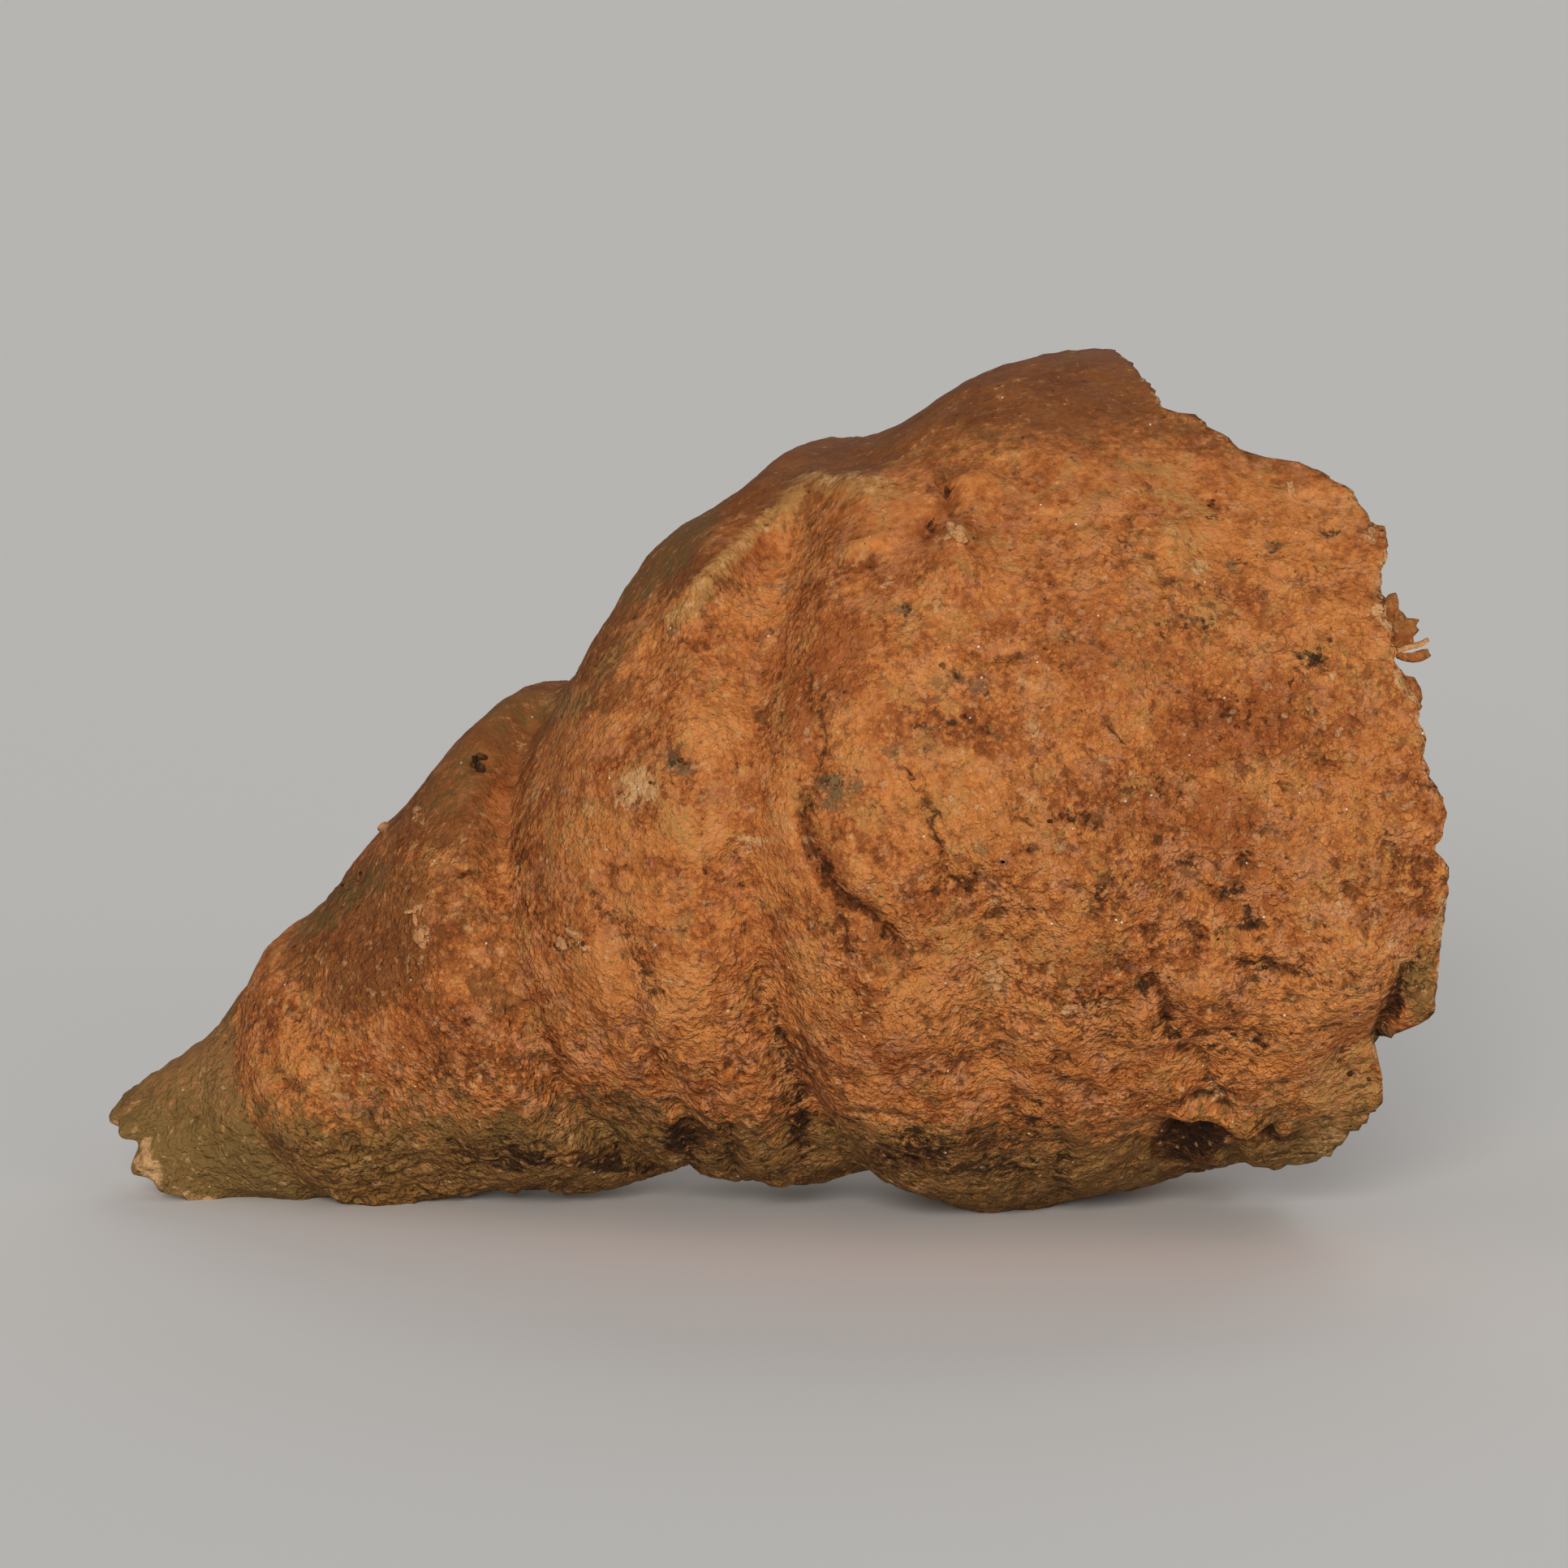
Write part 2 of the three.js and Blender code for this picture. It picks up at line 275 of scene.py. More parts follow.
def unevenness(p):
    """Slow swell of the surface: three crossed sine waves of the place."""
    x, y, z = p[..., 0], p[..., 1], p[..., 2]
    return (0.5 * np.sin(0.61 * x + 1.7 * np.sin(0.37 * z) + 0.4)
            + 0.3 * np.sin(0.83 * z - 0.52 * y + 2.1)
            + 0.2 * np.sin(1.31 * y + 0.97 * x + 0.9 * np.sin(0.7 * z)))


def ring_at(s):
    """Middle, up direction, forward direction, radius and lean of the ring at
    station s. Crest and keel are its ends; forward is square to the line
    between them, toward the cup."""
    crest_x, crest_z, keel_x, keel_z, depth, lean = (along(k, s) for k in range(6))
    middle = np.stack([(crest_x + keel_x) / 2, depth, (crest_z + keel_z) / 2], -1)
    half_x, half_z = (crest_x - keel_x) / 2, (crest_z - keel_z) / 2
    radius = np.hypot(half_x, half_z)
    none = np.zeros_like(radius)
    up = np.stack([half_x / radius, none, half_z / radius], -1)
    forward = np.stack([half_z / radius, none, -half_x / radius], -1)
    return middle, up, forward, radius, lean


def big_relief(p, s, turn):
    """Height of the large forms: the slow swell, less each ring groove, plus
    each mound; all of it fades to about a third at crest and keel."""
    degrees = np.degrees(turn)
    height = 0.28 * unevenness(p)
    for station, depth, width, centre, half in RING_GROOVES:
        fade = smoothstep(0, 30, half - np.abs(degrees - centre))
        height = height - depth * fade * hump((s - station) / width)
    for x, z, side, radius, rise in MOUNDS:
        fade = smoothstep(0, 0.4, side * np.sin(turn))
        height = height + rise * fade * hump(
            np.hypot(p[..., 0] - x, p[..., 2] - z) / radius)
    return height * np.minimum(1, 0.35 + np.abs(np.sin(turn)))


def outward_at(up, turn):
    """Direction from a ring's middle through the turn: up times cosine, less
    the depth axis times sine, so that turn runs from the crest, near side first."""
    outward = up * np.cos(turn)[..., None]
    outward[..., 1] -= np.sin(turn)
    return outward


def skin(s, turn):
    """Point of the horn's skin at station s and turn: ring middle, plus radius
    along outward, less the lean along forward, plus the large relief."""
    middle, up, forward, radius, lean = ring_at(s)
    outward = outward_at(up, turn)
    p = middle + outward * radius[..., None]
    p = p - forward * (lean * radius * np.sin(turn))[..., None]
    return p + outward * big_relief(p, s, turn)[..., None], outward


def rim_station(turn):
    """Station at which the skin reaches the rim, by halving the range."""
    low = np.full_like(turn, 15.0)
    high = np.full_like(turn, len(STATIONS) - 1.0)
    for _ in range(22):
        middle = (low + high) / 2
        p, _ = skin(middle, turn)
        near = np.interp(-p[..., 2], -NEAR_RIM[:, 0], NEAR_RIM[:, 1])
        far = np.interp(-p[..., 2], -FAR_RIM[:, 0], FAR_RIM[:, 1])
        short = p[..., 0] < np.where(np.sin(turn) >= 0, near, far)
        low = np.where(short, middle, low)
        high = np.where(short, high, middle)
    return low


# ---- Repeatable roughness --------------------------------------------------------

def corner_value(ix, iy, iz, seed):
    """A number from 0 to 1 for each whole-number corner, from mixed bits."""
    n = (ix.astype(np.uint32) * np.uint32(0x8DA6B343)
         ^ iy.astype(np.uint32) * np.uint32(0xD8163841)
         ^ iz.astype(np.uint32) * np.uint32(0xCB1AB31F)
         ^ np.uint32((seed * 0x9E3779B1) & 0xFFFFFFFF))
    n = (n ^ (n >> np.uint32(15))) * np.uint32(0x2C1B3C6D)
    n = (n ^ (n >> np.uint32(12))) * np.uint32(0x297A2D39)
    return (n ^ (n >> np.uint32(15))) / 4294967295.0


def noise(points, size, seed):
    """Value noise from -1 to 1: corner numbers of a grid of the given size,
    blended by the curve 6t^5 - 15t^4 + 10t^3."""
    in_grid = points / size
    base = np.floor(in_grid)
    t = in_grid - base
    t = t * t * t * (t * (t * 6 - 15) + 10)
    base = base.astype(np.int64)
    total = 0
    for corner in range(8):
        step = np.array([corner & 1, corner >> 1 & 1, corner >> 2 & 1])
        weight = np.prod(np.where(step, t, 1 - t), axis=-1)
        at = base + step
        total = total + weight * corner_value(at[..., 0], at[..., 1], at[..., 2], seed)
    return 2 * total - 1


def layered(points, size, seed, layers=4, keep=0.5):
    """Noise summed over layers, each half the size and keep times the height."""
    total, height, reach = 0, 1.0, 0.0
    for layer in range(layers):
        total = total + height * noise(points, size * 0.5 ** layer, seed + layer)
        reach += height
        height *= keep
    return total / reach


def cells(points, size, seed):
    """Distance to the nearest of points strewn one to a grid cell, in cell
    sizes, and a number of the nearest one's own."""
    in_grid = points / size
    base = np.floor(in_grid).astype(np.int64)
    nearest = np.full(points.shape[:-1], 9.0)
    own = np.zeros(points.shape[:-1])
    for step in np.ndindex(3, 3, 3):
        at = base + np.array(step) - 1
        jitter = [corner_value(at[..., 0], at[..., 1], at[..., 2], seed + k)
                  for k in range(3)]
        gap = np.linalg.norm(at + np.stack(jitter, -1) - in_grid, axis=-1)
        closer = gap < nearest
        own = np.where(closer, jitter[0], own)
        nearest = np.where(closer, gap, nearest)
    return nearest, own


# ---- Marks of the near side, in picture pixels -----------------------------------

# name: height in mm, half width, half width where the line is an open crack,
# strength and half width of the dirt along it, points; widths are in pixels
LINES = {
    "apex_band": (-0.3, 11, 0, 0, 1, [(303, 1195), (314, 1257), (326, 1303), (368, 1348), (425, 1394),
        (475, 1440)]),
    "apex_ridge": (0.35, 22, 0, 0, 1, [(345, 1195), (352, 1290), (400, 1350), (450, 1388),
        (500, 1425)]),
    "left_wave_1": (-0.28, 23, 0, 0, 1, [(440, 1075), (468, 1150), (520, 1240), (590, 1330),
        (640, 1420)]),
    "left_wave_2": (-0.3, 24, 0, 0, 1, [(535, 985), (542, 1060), (580, 1160), (640, 1270),
        (700, 1380)]),
    "notch_ring": (-0.44, 27, 0, 0, 1, [(692, 845), (650, 905), (626, 985), (628, 1055), (650, 1110),
        (690, 1180), (740, 1290), (770, 1400)]),
    "shoulder_cut": (-0.44, 18, 0, 0.9, 13, [(722, 1097), (751, 1136), (783, 1171), (805, 1215),
        (815, 1240)]),
    "main_cut_top": (-0.3, 6, 0.8, 0.5, 7, [(1010, 860), (1014, 890), (1017, 914), (1013, 940),
        (1003, 972)]),
    "main_cut": (-0.75, 9, 2.3, 0.8, 9, [(1006, 962), (994, 990), (992, 1017), (997, 1039),
        (1006, 1061), (1017, 1081), (1032, 1094), (1046, 1112), (1066, 1128), (1083, 1141),
        (1100, 1158), (1112, 1176)]),
    "main_valley": (-0.38, 28, 0, 0, 1, [(1020, 760), (1012, 909), (996, 1010), (1026, 1090),
        (1100, 1160), (1150, 1240)]),
    "main_branch": (-0.35, 8, 1, 0.6, 8, [(1030, 1100), (1040, 1135), (1045, 1165), (1050, 1190)]),
    "lower_cut": (-0.38, 23, 0, 0.7, 13, [(925, 1170), (945, 1240), (968, 1320), (985, 1390),
        (990, 1445)]),
    "lower_cut_top": (-0.28, 17, 0, 0.6, 8, [(895, 1043), (911, 1085), (920, 1116), (925, 1170)]),
    "keel_cut_1": (-0.4, 17, 2.6, 0.9, 14, [(838, 1380), (850, 1415), (858, 1450)]),
    "keel_cut_2": (-0.3, 9, 2, 0.7, 12, [(900, 1385), (908, 1450)]),
    "keel_cut_3": (-0.14, 10, 0, 0.4, 12, [(1296, 1290), (1306, 1380), (1312, 1420), (1310, 1480)]),
    "crack_1": (-0.42, 4, 2, 0.5, 7, [(1112, 946), (1130, 966), (1146, 986), (1160, 1008)]),
    "crack_1_side": (-0.15, 4, 1.1, 0, 1, [(1120, 966), (1132, 984), (1146, 1000)]),
    "crack_1_top": (-0.15, 5, 0, 0.7, 6, [(1078, 901), (1092, 914), (1106, 936)]),
    "crack_2": (-0.42, 6, 1.6, 0.7, 8, [(1132, 992), (1145, 1017), (1159, 1039), (1168, 1061),
        (1169, 1077), (1190, 1094), (1199, 1105)]),
    "crack_2_side": (-0.15, 4, 1.2, 0, 1, [(1168, 1062), (1181, 1064), (1195, 1057)]),
    "crack_3": (-0.3, 3.5, 1.4, 0.5, 6, [(1251, 1003), (1262, 1011), (1274, 1022)]),
    "crack_4": (-0.32, 4, 1.4, 0, 1, [(1355, 875), (1364, 892), (1390, 920)]),
    "crack_5": (-0.12, 4, 0, 0.6, 5, [(1128, 880), (1127, 900), (1129, 925)]),
    "crack_6": (-0.12, 4, 0, 0.5, 4, [(970, 926), (970, 954), (981, 977), (996, 984)]),
    "crack_7": (-0.12, 4, 0, 0.5, 5, [(1040, 812), (1062, 796), (1078, 800)]),
    "crack_8": (-0.1, 4, 0, 0.5, 5, [(1288, 700), (1296, 724), (1284, 760), (1276, 790)]),
    "vein_1": (-0.22, 5, 0, 0.8, 7, [(1141, 832), (1159, 819), (1177, 832), (1199, 846), (1219, 857)]),
    "vein_2": (-0.2, 4, 0, 0.8, 6, [(1128, 880), (1141, 897), (1163, 894), (1181, 879), (1193, 884),
        (1217, 905)]),
    "curl": (-0.3, 6, 0, 0.6, 5, [(1225, 792), (1228, 808), (1243, 811), (1261, 806)]),
    "hook_pit": (-0.45, 6, 0, 0, 1, [(577, 936), (588, 930), (595, 938), (588, 947)]),
    "slot_pit": (-0.4, 5, 0, 0, 1, [(567, 1079), (574, 1075), (583, 1070)]),
    "black_pit": (-0.45, 6, 0, 0, 1, [(1484, 623), (1491, 620), (1500, 618)]),
    "row_1": (-0.28, 6, 0, 0.8, 8, [(1474, 1163), (1500, 1152), (1520, 1143), (1547, 1147)]),
    "row_2": (-0.12, 7, 0, 0.45, 12, [(1488, 1199), (1518, 1186), (1545, 1192), (1575, 1204),
        (1620, 1208)]),
    "row_3": (-0.24, 6, 0, 0.9, 8, [(1411, 1196), (1413, 1215), (1407, 1238)]),
    "row_4": (-0.2, 6, 0, 0.7, 7, [(1290, 1232), (1340, 1238), (1402, 1236)]),
    "row_5": (-0.24, 6, 0, 0.8, 7, [(1442, 1250), (1470, 1262), (1520, 1270), (1600, 1277)]),
    "row_6": (-0.24, 6, 0, 0.9, 8, [(1450, 1352), (1470, 1348), (1492, 1350)]),
    "upper_break": (-0.12, 4, 0, 0.5, 5, [(1054, 662), (1072, 678), (1082, 686)]),
    "crest_ridge": (0.45, 15, 0, 0, 1, [(1100, 603), (1050, 597), (1000, 598), (960, 622), (905, 680),
        (850, 742), (800, 785), (762, 820)]),
    "crest_valley": (-0.28, 20, 0, 0, 1, [(1060, 642), (1000, 642), (950, 690), (890, 750),
        (840, 805)]),
    "wave_1": (-0.16, 22, 0, 0, 1, [(1225, 1050), (1216, 1180), (1232, 1300), (1245, 1380)]),
    "wave_2": (-0.16, 22, 0, 0, 1, [(1360, 1080), (1362, 1200), (1375, 1300), (1385, 1380)]),
    "step_line": (-0.3, 8, 0, 0.7, 10, [(1528, 1003), (1534, 1070), (1541, 1137), (1563, 1194),
        (1621, 1207)]),
    "ledge_line": (-0.36, 10, 0, 0.8, 10, [(1440, 1180), (1428, 1250), (1440, 1280), (1480, 1300),
        (1500, 1340), (1520, 1380)]),
    "under_ledge": (-0.8, 9, 2.6, 0.8, 12, [(1436, 1392), (1475, 1390), (1520, 1394), (1575, 1396)]),
    "ledge_lip": (0.5, 12, 0, 0, 1, [(1445, 1370), (1500, 1377), (1572, 1384)]),
    "lip_groove": (-0.75, 11, 1.8, 1, 12, [(1736, 1180), (1728, 1215), (1720, 1245), (1702, 1269),
        (1692, 1294)]),
    "worm_tail": (-0.14, 5, 0, 0.4, 4, [(783, 1067), (800, 1066), (825, 1070), (850, 1074),
        (882, 1075)]),
    "pale_ridge": (0.22, 12, 0, 0, 1, [(1440, 640), (1452, 680), (1470, 720), (1490, 762)]),
    "upper_wave": (-0.22, 20, 0, 0, 1, [(1240, 560), (1290, 640), (1330, 740), (1350, 820)]),
}

# pixel across, pixel down, half sizes along and across, tilt, height in mm
SPOTS = [
    (1200, 600, 28, 22, 0, 0.6), (1178, 660, 16, 12, 0, 0.7), (1168, 612, 8, 18, -15, -0.75),
    (1143, 648, 10, 15, 30, -0.65), (1062, 672, 24, 11, -20, 0.6), (1040, 692, 14, 10, 0, -0.45),
    (1072, 692, 22, 8, 20, -0.35), (586, 940, 7, 8, 0, -0.35), (839, 938, 20, 14, 20, -0.45),
    (1474, 1412, 34, 20, 10, -0.75), (1567, 674, 13, 9, 30, -0.22), (1517, 695, 10, 9, 0, -0.22),
    (1603, 710, 8, 8, 0, -0.2), (1640, 656, 12, 8, 0, -0.2), (1117, 745, 13, 10, 20, -0.26),
    (707, 1160, 20, 14, -20, 0.3), (478, 1020, 9, 8, 0, 0.15), (510, 1000, 9, 7, 0, 0.2),
    (440, 1075, 8, 5, -30, -0.55), (424, 1091, 5, 4, 0, -0.4), (1575, 885, 8, 14, 0, -0.3),
    (1663, 1323, 6, 6, 0, -0.5), (1687, 1329, 5, 5, 0, -0.4), (1543, 1188, 24, 9, -10, -0.18),
    (1548, 1140, 16, 8, 20, -0.3), (1411, 1209, 9, 8, 0, -0.3), (1437, 1264, 12, 8, 0, -0.36),
    (1628, 818, 18, 9, 10, -0.24), (1060, 1085, 46, 40, 30, 0.38), (880, 900, 52, 40, 0, 0.3),
    (1480, 1230, 46, 50, 0, 0.32), (1600, 1290, 60, 34, 20, 0.26), (760, 1230, 50, 46, 40, 0.26),
    (1215, 1030, 60, 46, 0, 0.22), (1456, 1342, 14, 11, 0, 0.45), (1540, 1385, 16, 11, 0, 0.4),
    (1507, 1330, 9, 8, 0, 0.35), (1520, 1436, 24, 12, 0, -0.8), (1170, 1402, 9, 7, 0, 0.3),
    (1545, 1175, 22, 16, 0, 0.4),
]

CRACK_REACH = 14                  # pixels from a crack within which it counts
CRACK_EDGE = 9                    # and within which it can be dark
# middle, radius, half width and height of each worn ring
RINGS = [(771, 1086, 17, 5, -0.20), (1567, 790, 17, 4, -0.05)]

# dark lumps in small holes, for dark grit and the holes' painted shade: pixel across, pixel down, half
# sizes, tilt
HOLE_GRIT_AND_SHADE = [
    (575, 1075, 8, 3.4, -28), (1489, 624, 4, 3, 0), (1495, 619, 5, 5, 0), (1663, 1323, 5, 4.6, 0),
    (1687, 1329, 3.4, 3.4, 0), (446, 1075, 6, 3.6, -30), (424, 1091, 4, 3, 0), (1467, 1064, 5, 3.6, 20),
    (1320, 1010, 6, 3.6, 0), (1269, 1047, 4.6, 3.6, 0), (1352, 1105, 6, 3.6, 30),
    (1519, 1098, 7, 4, 25), (1538, 1186, 9, 4, 8), (1558, 1192, 5, 3, 0), (1411, 1213, 3.6, 6, 0),
    (1411, 1226, 3, 4, 0), (1437, 1268, 4, 6, -40), (1552, 1283, 6, 3.6, 30), (1640, 656, 3.6, 3, 0),
    (1147, 646, 3.6, 9, 30), (1167, 606, 3.6, 9, -15), (1316, 1300, 3, 6, 0), (1480, 1268, 7, 3, 10),
    (1520, 1274, 6, 3, 5), (1352, 1240, 5, 3, 0), (1500, 1158, 5, 3, -20), (839, 937, 6, 4, 20),
    (801, 964, 3, 2.4, 0), (718, 1163, 3, 5, 20), (1294, 1012, 4, 3, 0), (1192, 1096, 5, 3, 40),
    (1235, 1062, 4, 3, 0),
]
# the black of a hooked hole, grit and painted shade, as three lumps run together
HOOK = [(594, 932, 8.0, 4.0, 10), (586, 935, 5.0, 4.4, 0), (583, 943, 3.2, 7.0, 12)]
# pale grains: pixel across, pixel down, radius in pixels
GRAINS = [
    (1648, 904, 4), (1652, 898, 3), (676, 972, 3), (1591, 601, 4), (1595, 610, 3.4), (1689, 654, 5),
    (1693, 668, 5), (1698, 718, 4.6), (1203, 994, 4), (1172, 984, 4.6), (1084, 1257, 3),
    (1146, 1270, 3), (1456, 1342, 3.6), (1507, 1330, 3.4), (924, 1043, 4), (1227, 1215, 6),
    (1222, 1196, 5), (1232, 1184, 4.4), (1583, 882, 4.4),
]
# rings worn by worms: middle, radius and half width of the dark line, in pixels
WORM_RINGS = [(771, 1086, 17, 3.6), (1567, 790, 17, 2.0)]
